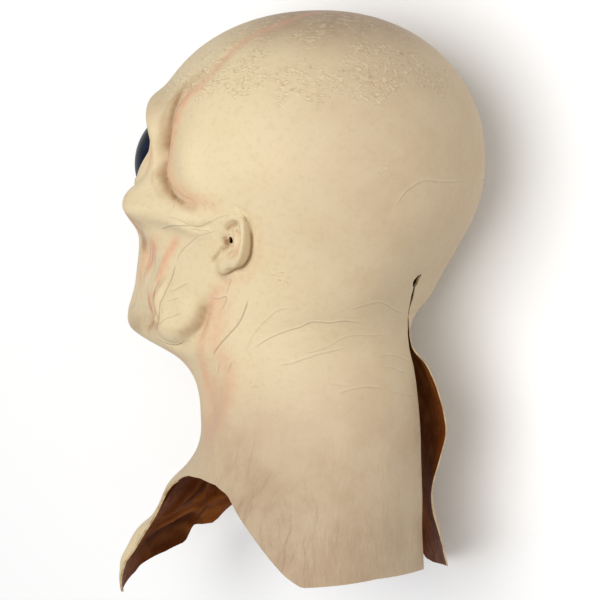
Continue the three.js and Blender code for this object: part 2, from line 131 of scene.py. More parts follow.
def read_by_height(table, z):
    return np.interp(z, table[:, 0], table[:, 1])


def read_sections(column, z):
    heights, values = SECTIONS[:, 0], SECTIONS[:, column]
    steps = heights[:-1] - heights[1:]
    rises = (values[:-1] - values[1:]) / steps
    slopes = np.zeros(len(values))
    slopes[1:-1] = (rises[:-1] * steps[1:] + rises[1:] * steps[:-1]) / (steps[:-1] + steps[1:])
    slopes[-1] = rises[-1]
    low = np.clip(np.searchsorted(-heights, -z), 1, len(heights) - 1)
    high = low - 1
    step = heights[high] - heights[low]
    t = np.clip((z - heights[low]) / step, 0, 1)
    return (values[low] * (2 * t**3 - 3 * t**2 + 1) + slopes[low] * step * (t**3 - 2 * t**2 + t)
            + values[high] * (3 * t**2 - 2 * t**3) + slopes[high] * step * (t**3 - t**2))


def section_point(azimuth, z):
    front, back, half = (read_sections(column, z) for column in (FRONT, BACK, HALF))
    forward, sideways = np.cos(np.radians(azimuth)), np.sin(np.radians(azimuth))
    share = 0.5 + 0.5 * forward
    square = read_sections(SQUARE_BACK, z) * (1 - share) + read_sections(SQUARE_FRONT, z) * share
    middle = (front + back) / 2 * np.clip((z - 60) / 240, 0, 1)
    reach = np.where(forward > 0, middle - front, back - middle)
    size = (np.abs(forward) ** square + np.abs(sideways) ** square) ** (-1 / square)
    return np.stack([half * sideways * size, middle - reach * forward * size, z + 0 * size], -1)


def cap_square(azimuth):
    forward = np.cos(np.radians(azimuth))
    end = np.where(forward > 0, CAP_SQUARE_FRONT, CAP_SQUARE_BACK)
    return CAP_SQUARE_SIDE + (end - CAP_SQUARE_SIDE) * forward**2


def cap_point(azimuth, tilt):
    """The skull above its widest level; tilt is 0 at the crown and 90 at that level."""
    square = cap_square(azimuth)
    rim = section_point(azimuth, np.full_like(azimuth, WIDEST_Z))
    out = np.clip(np.sin(np.radians(tilt)), 0, 1) ** (2 / square)
    up = np.clip(np.cos(np.radians(tilt)), 0, 1) ** (2 / square)
    return np.stack([rim[:, 0] * out, CROWN_Y + (rim[:, 1] - CROWN_Y) * out,
                     WIDEST_Z + (CROWN_Z - WIDEST_Z) * up], -1)


def place_on_head(azimuth, z):
    """The plain form at an azimuth and a height."""
    azimuth, z = np.asarray(azimuth, float), np.asarray(z, float)
    up = np.clip((z - WIDEST_Z) / (CROWN_Z - WIDEST_Z), 0, 1)
    tilt = np.degrees(np.arccos(up ** (cap_square(azimuth) / 2)))
    low = section_point(azimuth, np.minimum(z, WIDEST_Z))
    return np.where((z > WIDEST_Z)[:, None], cap_point(azimuth, tilt), low)


FLAP_LINE = smooth_line(FLAP_EDGE)


def open_right_flap(points, azimuth):
    z = points[:, 2]
    root = section_point(np.full_like(z, FLAP_ROOT), z)
    share = np.clip((FLAP_ROOT - azimuth) / (180 + FLAP_ROOT), 0, 1)
    belly = 4 * share * (1 - share) * FLAP_BELLY
    edge_x, edge_y = (np.interp(z, FLAP_LINE[:, 0], FLAP_LINE[:, column]) for column in (1, 2))
    hanging = np.stack([root[:, 0] + (edge_x - root[:, 0]) * share - belly / 2,
                        root[:, 1] + (edge_y - root[:, 1]) * share + belly, z], -1)
    opened = smooth((FLAP_TOP_Z - z) / 28) * (azimuth <= FLAP_ROOT)
    return points + (hanging - points) * opened[:, None]


def cut_slit(points, azimuth):
    """Parts the two edges at the nape, which the flat sheet leaves touching."""
    x, y, z = points.T
    behind = smooth((np.abs(azimuth) - 100) / 30)
    side = np.sign(azimuth)
    keyhole = 1 - ((z - KEYHOLE_Z) / KEYHOLE_HALF_HEIGHT) ** 2
    gap = np.where(z < SLIT_TOP_Z, read_by_height(SLIT_GAP, z), 0)
    gap = np.maximum(gap, KEYHOLE_HALF_WIDTH * np.sqrt(np.clip(keyhole, 0, 1)))
    spread = np.clip(1 - np.abs(x) / 14, 0, 1) ** 2 * (np.abs(azimuth) > 150)
    shift = read_by_height(SLIT_SHIFT, z) * np.exp(-(x / 22) ** 2) * behind
    furrow = read_by_height(SLIT_FURROW, z) * np.exp(-(x / 11) ** 2) * behind
    return np.stack([x + shift + side * gap * spread, y - furrow, z], -1)


def wrap_on_head(flat):
    """Where a point of the flat sheet lies on the plain form, and its azimuth."""
    across, down = flat[:, 0], (1 - flat[:, 1]) / 2 * ROWS
    azimuth = 180 * across * (FRONT_DENSITY + (1 - FRONT_DENSITY) * across**2)
    cap = cap_point(azimuth, 90 * np.clip(down / CAP_ROWS, 0, 1))
    head_share = np.clip((down - CAP_ROWS) / HEAD_ROWS, 0, 1)
    yoke_share = np.clip((down - CAP_ROWS - HEAD_ROWS) / (ROWS - CAP_ROWS - HEAD_ROWS), 0, 1)
    head_z = WIDEST_Z + (YOKE_Z - WIDEST_Z) * head_share
    z = head_z + (np.interp(azimuth, HEM[:, 0], HEM[:, 1]) - YOKE_Z) * yoke_share
    low = open_right_flap(section_point(azimuth, z), azimuth)
    points = np.where((down <= CAP_ROWS)[:, None], cap, low)
    return cut_slit(points, azimuth), azimuth


skin_low, skin_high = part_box("latex_skin")
AS_LAID = np.array([skin_high[0] - BACK_Y / 1000, skin_high[1] - CROWN_Z / 1000, FLAT_SIDE / 1000])


def lay_down(points):
    """From the worn head in millimetres to the mask lying on its right side, in metres."""
    return points[:, [1, 2, 0]] / 1000 + AS_LAID


def pick_up(places):
    return ((places - AS_LAID) * 1000)[:, [2, 0, 1]]


def get_vertices(mesh, key="co"):
    values = np.empty(3 * len(mesh.vertices))
    mesh.vertices.foreach_get(key, values)
    return values.reshape(-1, 3)


def set_vertices(mesh, places):
    mesh.vertices.foreach_set("co", places.astype(np.float32).ravel())
    mesh.update()


def read_values(mesh, name, width=1):
    values = np.empty(width * len(mesh.vertices))
    mesh.attributes[name].data.foreach_get("vector" if width == 3 else "value", values)
    return values.reshape(-1, 3) if width == 3 else values


def write_values(mesh, name, values):
    """Keeps a number or a vector for each vertex, for a later step or a material."""
    kind, key = ('FLOAT', "value") if values.ndim == 1 else ('FLOAT_VECTOR', "vector")
    mesh.attributes.new(name, kind, 'POINT').data.foreach_set(key, values.astype(np.float32).ravel())


def face_out(mesh, points):
    """The outward direction at each vertex, in the worn head's axes."""
    set_vertices(mesh, lay_down(points))
    normals = get_vertices(mesh, "normal")[:, [2, 0, 1]]
    above = points[:, 2] > SKULL_MIDDLE[2]
    return normals * np.sign((normals * (points - SKULL_MIDDLE))[above].sum())


def deselect_everything():
    bpy.ops.object.select_all(action='DESELECT')
    bpy.context.view_layer.objects.active = None


def open_for_editing(piece, kind):
    deselect_everything()
    piece.select_set(True)
    bpy.context.view_layer.objects.active = piece
    bpy.ops.object.mode_set(mode='EDIT')
    bpy.ops.mesh.select_mode(type=kind)
    bpy.ops.mesh.select_all(action='DESELECT')


def select_faces(piece, wanted):
    """Selects the faces whose middle is wanted."""
    sheet = bmesh.from_edit_mesh(piece.data)
    middles = np.array([face.calc_center_median() for face in sheet.faces])
    for face, chosen in zip(sheet.faces, wanted(middles)):
        face.select_set(bool(chosen))
    sheet.select_flush_mode()
    bmesh.update_edit_mesh(piece.data)


def draw_sheet(name, zones):
    """A flat grid, made finer in each zone in turn, wrapped on the head and welded at the back.

    Each vertex keeps its azimuth as an attribute."""
    deselect_everything()
    bpy.ops.mesh.primitive_grid_add(x_subdivisions=COLUMNS, y_subdivisions=ROWS, size=2)
    piece = bpy.context.object
    piece.name = name
    open_for_editing(piece, 'FACE')
    for zone in zones:
        bpy.ops.mesh.select_all(action='DESELECT')
        select_faces(piece, lambda middles: zone(*wrap_on_head(middles)))
        bpy.ops.mesh.subdivide(number_cuts=1)
    bpy.ops.object.mode_set(mode='OBJECT')
    points, azimuth = wrap_on_head(get_vertices(piece.data))
    set_vertices(piece.data, lay_down(points))
    write_values(piece.data, "azimuth", azimuth)
    open_for_editing(piece, 'VERT')
    bpy.ops.mesh.select_all(action='SELECT')
    bpy.ops.mesh.remove_doubles(threshold=WELD_REACH)
    bpy.ops.object.mode_set(mode='OBJECT')
    return piece


# Zones where the sheets are made finer: azimuths, alike on both sides, and heights.
FAR = 999
EAR_HOLE = (-15.7, 249.9)
EAR_LEAST_X = 50


def between(least_azimuth, most_azimuth, lowest, highest):
    def zone(points, azimuth):
        turn, z = np.abs(azimuth), points[:, 2]
        return (turn > least_azimuth) & (turn < most_azimuth) & (z > lowest) & (z < highest)
    return zone


def around_ear(y, z, reach, squash=1, left_only=False):
    def zone(points, azimuth):
        beside = points[:, 0] if left_only else np.abs(points[:, 0])
        away = np.hypot((points[:, 1] - y) / squash, points[:, 2] - z)
        return (away < reach) & (beside > EAR_LEAST_X)
    return zone


everywhere = between(-1, FAR, -FAR, FAR)
nape_edge_zone = between(170, FAR, -FAR, 231)
keyhole_zone = between(174, FAR, 205, 228)
chest_zone = between(-1, 62, -FAR, 95)
temple_zone = between(18, 90, 258, 350)
ear_zone = around_ear(-15, 247, 29)
ear_leaf_zone = around_ear(-14, 247, 24, squash=0.85, left_only=True)
ear_hole_zone = around_ear(*EAR_HOLE, 14)


def face_zone(points, azimuth):
    jaw_z = np.interp(np.abs(azimuth), (50, 80), (163, 188))
    return (np.abs(azimuth) < 104) & (points[:, 2] > jaw_z) & (points[:, 2] < 347)


def lower_zone(points, azimuth):
    return (points[:, 2] < 66) | ((np.abs(azimuth) > 135) & (points[:, 2] < 232))


def eye_zone(points, azimuth):
    share = eye_share(points)
    return (share > 0.86) & (share < 1.26) & (points[:, 1] < FACE_Y)


def chest_hem_zone(points, azimuth):
    above_hem = points[:, 2] - np.interp(azimuth, HEM[:, 0], HEM[:, 1])
    at_turned_edge = (azimuth > 22) & (azimuth < 36) & (points[:, 2] < 62)
    return ((above_hem < 8) & (azimuth > -45) & (azimuth < 50)) | at_turned_edge


# The eye opening, an almond in the view from the front, and the round lens behind it.
EYE_CENTRE = np.array([31.0, -81.0, 297.5])
EYE_RADIUS, EYE_GAP = 41.5, 0.4
EYE_X, EYE_Z = 38.0, 302.0
EYE_HALF_LENGTH, EYE_HALF_HEIGHT, EYE_TILT, EYE_ROUNDNESS = 33.0, 24.0, 12.0, 1.9
FACE_Y = -60


def eye_share(points):
    """1 on the edge of the eye opening, less inside it."""
    tilt = np.radians(EYE_TILT)
    right, up = np.abs(points[:, 0]) - EYE_X, points[:, 2] - EYE_Z
    along = np.abs(right * np.cos(tilt) + up * np.sin(tilt)) / EYE_HALF_LENGTH
    across = np.abs(up * np.cos(tilt) - right * np.sin(tilt)) / EYE_HALF_HEIGHT
    return (along**EYE_ROUNDNESS + across**EYE_ROUNDNESS) ** (1 / EYE_ROUNDNESS)


# Folds and swellings of the face, alike on both sides: the places they run through, how far they
# stand out at their start, middle and end, how wide they spread, and how wide upwards.
RELIEF = {
    "temple crease top": ([(82, 393), (74, 380), (69, 362), (61, 349), (57, 341)], (0, -1.4, -2), 4),
    "temple crease": ([(57, 352), (55.4, 341), (56, 330), (55.7, 319), (54.8, 309), (54, 299),
        (54.7, 291), (57, 285), (61, 279), (66, 275.3), (73, 272.5), (82, 270)], (-1, -6, -0.5), 4.4),
    "temple swelling": ([(76, 350), (71, 330), (69, 312), (69, 298), (72, 287), (79, 280), (90, 278)],
        (0, 4.5, 0), 12),
    "eye socket rim": ([(10, 334), (24, 340), (34, 340), (43, 333), (49, 321), (50, 307), (47, 293),
        (42, 281)], (2, 9, 3), 10),
    "brow furrow": ([(6, 322), (12, 330), (20, 335)], (-2, -3, 0), 6),
    "cheekbone": ([(22, 269.5), (28, 268.5), (35, 267.5), (43, 266.5)], (8.5, 15, 9.5), 17, 26),
    "cheek arch": ([(43, 268), (54, 265), (65, 262), (74, 259), (86, 263)], (8, 6, 0), 7, 13),
    "arch fold": ([(62, 263), (67, 262), (71, 259.5), (75, 257), (79, 259.5), (84, 263.5), (89, 267)],
        (0, -1.8, -0.6), 2.6),
    "upper arch fold": ([(78, 266), (82, 270), (86, 274), (91, 276)], (0, -1, 0), 3),
    "cheek hollow": ([(38, 248), (46, 232), (50, 214)], (-3, -6, -2), 13),
    "cheek cord": ([(64, 248), (61, 236), (58, 222), (54, 206)], (0, 1.6, 0), 3.4),
    "cheek cord front": ([(50, 244), (48, 232), (47, 218), (46, 206)], (0, 1.5, 0), 3.6),
    "jowl": ([(56, 228), (57, 205), (60, 190)], (1, 6, 6), 15),
    "jowl pad": ([(71, 214), (70, 202), (67, 190), (61, 183)], (0, 2.6, 2), 9),
    "jowl front fold": ([(66, 231), (65, 226), (63.5, 220), (62, 213), (60.5, 206), (59.5, 199),
        (58.5, 191), (55, 184)], (0, -2, -0.6), 2.6),
    "jaw crease": ([(88, 224), (83, 214), (79.5, 206), (77.5, 195.5), (73.5, 184), (66, 174.5),
        (60, 172.5), (56.5, 175), (54.5, 180)], (0, -5, -1.5), 4.2),
    "chin": ([(0, 188), (14, 188), (24, 192)], (4, 4, 2), 12),
    "chin fold": ([(51.5, 210), (53.5, 199), (53, 191), (50, 185), (47, 179)], (0, -2.4, 0), 3),
    "cheek line": ([(62, 222), (59, 214.5), (56.5, 206), (56.7, 198), (58, 190), (55.5, 184), (49, 178)],
        (0, -1.8, 0), 2.4),
    "nose bridge": ([(0, 306), (0, 290), (0, 272)], (3, 8, 12), 8),
    "nose tip": ([(0, 266), (0, 261)], (6, 6, 5), 8),
    "nose wings": ([(6, 262), (8, 260)], (2, 3, 3), 4.5),
    "nostrils": ([(2.8, 255.5), (4.6, 256.5)], (-5, -6, -5), 2.1),
    "eye hollow": ([(8, 300), (14, 300), (22, 302)], (-7, -10, -6), 12),
    "smile fold": ([(12, 262), (17, 250), (21, 240), (23, 228)], (-1, -3, 0), 4),
    "mouth line": ([(0, 229), (6, 228.6), (12, 229.5), (19, 232)], (-3.4, -3.4, 0), 2.6),
    "upper lip": ([(0, 235.5), (9, 235), (16, 233.5)], (2.2, 2, 0), 4.2),
    "lip furrow": ([(0, 250), (0, 240)], (-1, -2, -1), 3),
    "lower lip": ([(0, 222), (9, 222.6), (15, 226)], (3.4, 3, 0), 4.8),
    "chin crease": ([(0, 209), (10, 210), (18, 214)], (-4, -2.5, 0), 7),
    "brow lines": ([(0, 352), (12, 355), (24, 353)], (-1.4, -1.4, 0), 3),
    "brow lines above": ([(0, 364), (14, 367), (26, 364)], (-1.2, -1.2, 0), 3),
    "throat cord": ([(50, 162), (40, 135), (34, 108)], (0, 2, 0), 9),
    "neck cord": ([(88, 195), (76, 150), (62, 110), (56, 90)], (0, 2.6, 0), 12),
    "throat hollow": ([(68, 155), (52, 125), (46, 100)], (0, -2.2, 0), 10),
    "nape furrow": ([(92, 173), (105, 184), (119, 191.5), (130, 194.5), (147, 193.5)], (0, -0.9, 0), 3),
    "nape furrow low": ([(100, 165), (114, 169), (127, 174), (140, 178)], (0, -0.7, 0), 3),
}


# Folds of the chest flap, which has curled unevenly, in the same way.
BIB_FOLDS = {
    "curled edge": ([(24, -2), (24.5, 6), (24.5, 14), (24.5, 24)], (1.5, 2.6, 0), 8),
    "turned edge": ([(28, 5), (28.5, 19), (30.5, 33), (32, 46)], (-1.5, -5, 0), 6.5),
    "long fold": ([(-12.3, 63), (-6, 47.5), (-3.7, 40), (-1, 30), (5, 18)], (-1, -3.6, -0.5), 3.4),
    "upper fold": ([(-16, 59), (-12, 49), (-9, 40)], (-1, -2.2, 0), 3),
    "cross fold": ([(-25, 37.5), (-16, 34), (-11, 29.5), (-3, 23), (6, 14)], (-1, -3.4, 0), 3.2),
    "upright fold": ([(-16, 62), (-18, 46.5), (-23.3, 32), (-24.3, 20)], (0, -3, -1.5), 3),
    "side fold": ([(-33, 44), (-24, 41.5), (-21, 37)], (0, -2.6, 0), 3.4),
    "hollow": ([(-14, 12), (-2, 6)], (2, 2.5, 2), 12),
}


def line_on_head(places):
    azimuth, z = np.array(places, float).T
    return smooth_line(place_on_head(azimuth, z))


def nearest_on_line(points, line, reach):
    """Distance, share along and offset from the nearest point of a line, within reach of it."""
    near = np.flatnonzero(((points > line.min(0) - reach) & (points < line.max(0) + reach)).all(1))
    distance = np.full(len(near), np.inf)
    share = np.zeros(len(near))
    offset = np.zeros((len(near), 3))
    way = np.zeros((len(near), 3))
    for k in range(len(line) - 1):
        step = line[k + 1] - line[k]
        along = np.clip((points[near] - line[k]) @ step / (step @ step), 0, 1)
        away = points[near] - line[k] - along[:, None] * step
        length = np.sqrt((away**2).sum(1))
        closer = length < distance
        distance[closer] = length[closer]
        share[closer] = (k + along[closer]) / (len(line) - 1)
        offset[closer] = away[closer]
        way[closer] = step / np.sqrt(step @ step)
    return near, distance, share, offset, way


def fold_sides(points):
    """Both sides of the head as the left side."""
    return points * np.where(points[:, :1] < 0, [-1, 1, 1], 1)


def relief_height(points, least_width=0):
    mirrored = fold_sides(points)
    height = np.zeros(len(points))
    folds = [(mirrored, *fold) for fold in RELIEF.values()]
    folds += [(points, *fold) for fold in BIB_FOLDS.values()]
    for surface, places, (start, middle, end), width, *above in folds:
        if surface is mirrored and width < least_width and 0 <= middle < 3:
            continue
        if surface is mirrored and middle < 0 and least_width:
            start, middle, end = 1.25 * start, 1.25 * middle, 1.25 * end
            width = max(width, least_width) + 1.5
        wide = max([width] + above)
        near, distance, share, offset, _ = nearest_on_line(surface, line_on_head(places), 3 * wide)
        rise = np.where(share < 0.5, start + (middle - start) * smooth(2 * share),
                        middle + (end - middle) * smooth(2 * share - 1))
        spread = width + (wide - width) * smooth(0.5 + offset[:, 2] / 8)
        height[near] += rise * np.exp(-(distance / spread) ** 2)
    return height


# The eyelid, by share of the opening: its rolled edge, then a swelling and a fold, each with its
# share, spread and rise.
LID_ROLL, LID_EDGE = 0.1, 0.3
LID_FOLDS = ((1.16, 0.1, 0.6), (1.42, 0.09, -0.9))
LID_END, LID_FADE = 1.12, 0.45


def wrap_eyelids(points, inside):
    """The eyelids lie on the round of the lens."""
    share = eye_share(points)
    side = np.where(points[:, :1] < 0, -1.0, 1.0)
    centre = EYE_CENTRE * np.concatenate([side, side**2, side**2], 1)
    radius = np.full(len(points), EYE_RADIUS + EYE_GAP)
    if not inside:
        roll = np.clip((share - 1) / LID_ROLL, 0, 1)
        radius += LID_EDGE + (WALL - LID_EDGE) * np.sqrt(1 - (1 - roll) ** 2)
        for at, spread, rise in LID_FOLDS:
            radius += rise * np.exp(-((share - at) / spread) ** 2)
    lid = points - centre
    lid = centre + lid * (radius / np.sqrt((lid**2).sum(1)))[:, None]
    hold = (1 - smooth((share - LID_END) / LID_FADE)) * (points[:, 1] < FACE_Y)
    return points + (lid - points) * hold[:, None]


# The ear stands out behind as a leaf with a steep wall, and runs into the cheek in front. Its
# outline, seen from the side, is a closed line round its middle. Its face slopes: y and x of its
# front and back. It has folds: the places they run through, how far they rise and how wide.
EAR_MIDDLE = np.array([-14.0, 247.5])
EAR_OUTLINE = np.array([(-7, 267.3), (-2, 266), (0, 260), (0, 253), (-1.5, 245.5), (-4.5, 238.5),
                        (-10.5, 232.4), (-17.5, 230.6), (-24.5, 231.6), (-29.6, 235),
                        (-30.8, 238.6), (-28, 241.6), (-24, 246), (-24, 254), (-21, 261), (-14, 266)], float)
EAR_SLOPE = ((-34.0, -26.0, 0.0), (79.0, 84.8, 96.2))
EAR_REACH, EAR_ROOT, EAR_UNDERCUT = 1.75, 1.3, 0.985
RIM_RADIUS, RIM_DROP = 0.28, 0.8
BASIN_DEPTH, BASIN_EDGE, BASIN_LOWEST = 1.1, 0.8, 236
BOWL_DEPTH, BOWL_PLACE, BOWL_SIZE = 6.0, (-17.5, 248.5), (4.8, 7.2)
GROOVE_DEPTH = 1.6
EAR_FOLDS = [
    ([(-19.2, 261.9), (-13.1, 264.8), (-5.1, 265.6), (-2.1, 262.8), (-1.7, 253.6), (-3.2, 245.7),
     (-7.2, 238.2)], 0.8, 2.0),
    ([(-18.7, 256.3), (-16.2, 258.8), (-12.5, 260.7), (-7.4, 262.3)], -2.5, 1.6),
    ([(-11.4, 257.8), (-9.8, 257)], 1.0, 2.0),
    ([(-10.6, 254.7), (-10, 250.1), (-11.6, 244.9), (-13.2, 242.4), (-17.8, 238.8)], 1.3, 1.6),
    ([(-10.2, 256), (-5.6, 253.7), (-5.4, 248.6), (-8.5, 244), (-12.6, 240.5), (-18.3, 238.1)], -1.1,
     1.5),
    ([(-19, 245.5), (-22, 244.2), (-25, 243)], -1.8, 1.6),
    ([(-25, 243), (-29.2, 239.4), (-32.6, 236.3), (-34, 233.6)], -1.4, 1.3),
    ([(-17.2, 253.6), (-16.8, 252.6)], -1.3, 1.0),
]


def raise_folds(y, z, folds):
    """How far the folds lift the places of the ear's face."""
    height = np.zeros(len(y))
    places = np.stack([0 * y, y, z], -1)
    for corners, rise, width in folds:
        line = smooth_line([(0, *corner) for corner in corners])
        near, distance, share, _, _ = nearest_on_line(places, line, 3 * width)
        ends = 0.35 + 0.65 * smooth(share / 0.2) * smooth((1 - share) / 0.2)
        height[near] += rise * ends * np.exp(-(distance / width) ** 2)
    return height


def ear_outline_radius(angle):
    loop = np.vstack([EAR_OUTLINE, EAR_OUTLINE[:2]])
    line = smooth_line(loop)[:-8] - EAR_MIDDLE
    line_angle = np.arctan2(line[:, 1], line[:, 0])
    order = np.argsort(line_angle)
    radius = np.hypot(line[:, 0], line[:, 1])
    return np.interp(angle, line_angle[order], radius[order], period=2 * np.pi)


def shape_ear(points):
    """Pulls the skin out into the ear: wall, rolled rim, folds and bowl."""
    y, z = points[:, 1] - EAR_MIDDLE[0], points[:, 2] - EAR_MIDDLE[1]
    angle = np.arctan2(z, y)
    outline = ear_outline_radius(angle)
    reach = np.hypot(y, z) / outline
    side = np.sign(points[:, 0])
    beside = np.abs(points[:, 0]) > EAR_LEAST_X
    near = (reach < EAR_REACH + 0.4) & beside

    def poly(v, w):
        return np.stack([v**i * w**j for i in range(4) for j in range(4 - i)], -1)
    fit = np.linalg.lstsq(poly(y[near] / 20, z[near] / 20), np.abs(points[near, 0]), rcond=None)[0]

    at_ear = (reach < EAR_REACH) & beside
    angle, outline, reach, side = (value[at_ear] for value in (angle, outline, reach, side))
    behind = smooth((np.cos(angle + np.radians(18)) + 0.22) / 0.51)
    # Behind, the skin outside the rim runs in under the leaf and then climbs to its edge.
    under = smooth((EAR_REACH - reach) / (EAR_REACH - EAR_ROOT))
    climb = np.clip((EAR_ROOT - reach) / (EAR_ROOT - 1), 0, 1)
    drawn_in = np.where(reach > EAR_ROOT, reach + (EAR_UNDERCUT - EAR_ROOT) * under,
                        EAR_UNDERCUT + (1 - EAR_UNDERCUT) * np.sin(climb * np.pi / 2))
    new_reach = np.where(reach < 1, reach, reach + (drawn_in - reach) * behind)
    new_y, new_z = new_reach * outline * np.cos(angle), new_reach * outline * np.sin(angle)
    own_x = np.abs(points[at_ear, 0])
    head_x = own_x + (poly(new_y / 20, new_z / 20) @ fit - own_x) * smooth((EAR_REACH - reach) / 0.2)
    new_y, new_z = new_y + EAR_MIDDLE[0], new_z + EAR_MIDDLE[1]
    # The leaf: a sloping face with a rounded edge behind, a basin inside the rim, folds and a bowl.
    face_x = np.interp(new_y, *EAR_SLOPE)
    roll = np.clip((1 - new_reach) / RIM_RADIUS, 0, 1)
    face_x -= RIM_DROP * outline * RIM_RADIUS * behind * (1 - np.sqrt(1 - (1 - roll) ** 2))
    basin = BASIN_DEPTH * smooth((BASIN_EDGE - new_reach) / 0.16) * smooth((new_z - BASIN_LOWEST) / 6)
    across = (new_y - BOWL_PLACE[0]) / BOWL_SIZE[0]
    upwards = (new_z - BOWL_PLACE[1]) / BOWL_SIZE[1]
    bowl = BOWL_DEPTH * np.exp(-(across**2 + upwards**2) ** 1.3)
    top_x = np.maximum(face_x - basin - bowl, head_x + 0.4) + raise_folds(new_y, new_z, EAR_FOLDS)
    top_x = np.maximum(top_x, head_x - 0.6)
    wall = behind * (1 - np.cos(climb * np.pi / 2)) + (1 - behind) * smooth(1 - (reach - 1) / 0.65)
    groove = GROOVE_DEPTH * behind * np.exp(-((reach - EAR_ROOT - 0.03) / 0.06) ** 2)
    wall_x = head_x - groove + (np.maximum(face_x, head_x) - head_x) * wall
    wall_x += raise_folds(new_y, new_z, EAR_FOLDS[6:8]) * (1 - behind)
    new_x = np.where(reach < 1, top_x, wall_x)
    shaped = points.copy()
    shaped[at_ear] = np.stack([side * new_x, new_y, new_z], -1)
    return shaped


TURNED_AZIMUTH, TURNED_Z = 31, 84
EDGE_SHARE, TURNED_EDGE_SHARE, EDGE_REACH = 0.4, 0.85, 12


def wall_direction(azimuth, plain, outward, curled):
    """Square to the skin, and along the turned edge of the chest flap square to its plain form."""
    calm = smooth((13 - np.abs(azimuth - TURNED_AZIMUTH)) / 5) * smooth((TURNED_Z - plain[:, 2]) / 16)
    return outward * calm[:, None] + curled * (1 - calm)[:, None]


def wall_at(azimuth, plain):
    """The wall, which thins to its cut edges at the hem and the slit."""
    from_hem = plain[:, 2] - np.interp(azimuth, HEM[:, 0], HEM[:, 1])
    from_slit = 1.5 * (180 - np.abs(azimuth)) + 9 * (plain[:, 2] > SLIT_TOP_Z)
    thin = np.where(np.abs(azimuth - 30) < 8, TURNED_EDGE_SHARE, EDGE_SHARE)
    return WALL * (thin + (1 - thin) * smooth(np.minimum(from_hem, from_slit) / EDGE_REACH))


outer = draw_sheet("skin", [everywhere, face_zone, nape_edge_zone, ear_zone, ear_leaf_zone, eye_zone,
                            keyhole_zone, chest_zone, chest_hem_zone])
plain = pick_up(get_vertices(outer.data))
write_values(outer.data, "plain", plain)
outward = face_out(outer.data, plain)
points = plain + outward * relief_height(plain)[:, None]
points = wrap_eyelids(points, inside=False)
points = shape_ear(points)
points[:, 0] = np.maximum(points[:, 0], -FLAT_SIDE)
set_vertices(outer.data, lay_down(points))

inner = draw_sheet("skin_inside", [lower_zone, nape_edge_zone, ear_hole_zone, keyhole_zone, chest_zone,
                                   chest_hem_zone, temple_zone])
plain = pick_up(get_vertices(inner.data))
write_values(inner.data, "plain", plain)
outward = face_out(inner.data, plain)
points = plain + outward * relief_height(plain, least_width=5)[:, None]
points[:, 0] = np.maximum(points[:, 0], -FLAT_SIDE)
azimuth = read_values(inner.data, "azimuth")
direction = wall_direction(azimuth, plain, outward, face_out(inner.data, points))
points = points - direction * wall_at(azimuth, plain)[:, None]
points = wrap_eyelids(points, inside=True)
set_vertices(inner.data, lay_down(points))


# The openings. The real ones are cut with scissors after casting: both eyes and both ear holes.
NEAR_EYE, NEAR_EAR_HOLE, NO_SHARE = 1.6, 3, 9


def trim(piece, unwanted, share, snap, reach=np.inf):
    """Cuts out the unwanted faces, by their share, and draws the edge left there to the outline."""
    open_for_editing(piece, 'FACE')
    select_faces(piece, lambda middles: unwanted(share(pick_up(middles))))
    bpy.ops.mesh.delete(type='FACE')
    sheet = bmesh.from_edit_mesh(piece.data)
    edge = [vertex for vertex in sheet.verts if vertex.is_boundary]
    places = pick_up(np.array([vertex.co for vertex in edge]))
    shares = share(places)
    for vertex, value, place in zip(edge, shares, lay_down(snap(places, shares))):
        if value < reach:
            vertex.co = place
    bmesh.update_edit_mesh(piece.data)
    bpy.ops.object.mode_set(mode='OBJECT')


def eye_hole_share(points):
    return np.where(points[:, 1] < FACE_Y, eye_share(points), NO_SHARE)


def snap_to_eye(points, shares):
    side = np.where(points[:, 0] < 0, -1, 1)
    moved = points.copy()
    moved[:, 0] = side * (EYE_X + (np.abs(points[:, 0]) - EYE_X) / shares)
    moved[:, 2] = EYE_Z + (points[:, 2] - EYE_Z) / shares
    radius = np.sqrt(((points - EYE_CENTRE * np.stack([side, side**2, side**2], -1)) ** 2).sum(1))
    sideways = moved[:, 0] - side * EYE_CENTRE[0]
    upwards = moved[:, 2] - EYE_CENTRE[2]
    moved[:, 1] = EYE_CENTRE[1] - np.sqrt(np.clip(radius**2 - sideways**2 - upwards**2, 1, None))
    return moved


EAR_HOLE_HALF_WIDTH, EAR_HOLE_HALF_HEIGHT = 1.5, 2.3


def ear_hole_share(points):
    y = (points[:, 1] - EAR_HOLE[0]) / EAR_HOLE_HALF_WIDTH
    z = (points[:, 2] - EAR_HOLE[1]) / EAR_HOLE_HALF_HEIGHT
    return np.where(np.abs(points[:, 0]) > EAR_LEAST_X, np.hypot(y, z), NO_SHARE)


def snap_to_ear_hole(points, shares):
    moved = points.copy()
    moved[:, 1] = EAR_HOLE[0] + (points[:, 1] - EAR_HOLE[0]) / shares
    moved[:, 2] = EAR_HOLE[1] + (points[:, 2] - EAR_HOLE[1]) / shares
    return moved


for sheet_piece in (outer, inner):
    for hole_share, snap_to_hole in ((eye_hole_share, snap_to_eye), (ear_hole_share, snap_to_ear_hole)):
        trim(sheet_piece, lambda shares: shares < 1, hole_share, snap_to_hole, reach=NEAR_EYE)

# The two faces of the wall are joined along the hem, the slit and the six scissor cuts, and get
# their paint. Outside is sprayed and brushed latex, inside bare latex, and the cut edge is pale.
for sheet_piece, value in ((outer, 0.0), (inner, 1.0)):
    write_values(sheet_piece.data, "inside", np.full(len(sheet_piece.data.vertices), value))
deselect_everything()
inner.select_set(True)
outer.select_set(True)
bpy.context.view_layer.objects.active = outer
bpy.ops.object.join()
skin = outer


def in_eye(points, side):
    return (eye_hole_share(points) < NEAR_EYE) & (points[:, 0] * side > 0)


def in_ear_hole(points, side):
    return (ear_hole_share(points) < NEAR_EAR_HOLE) & (points[:, 0] * side > 0)


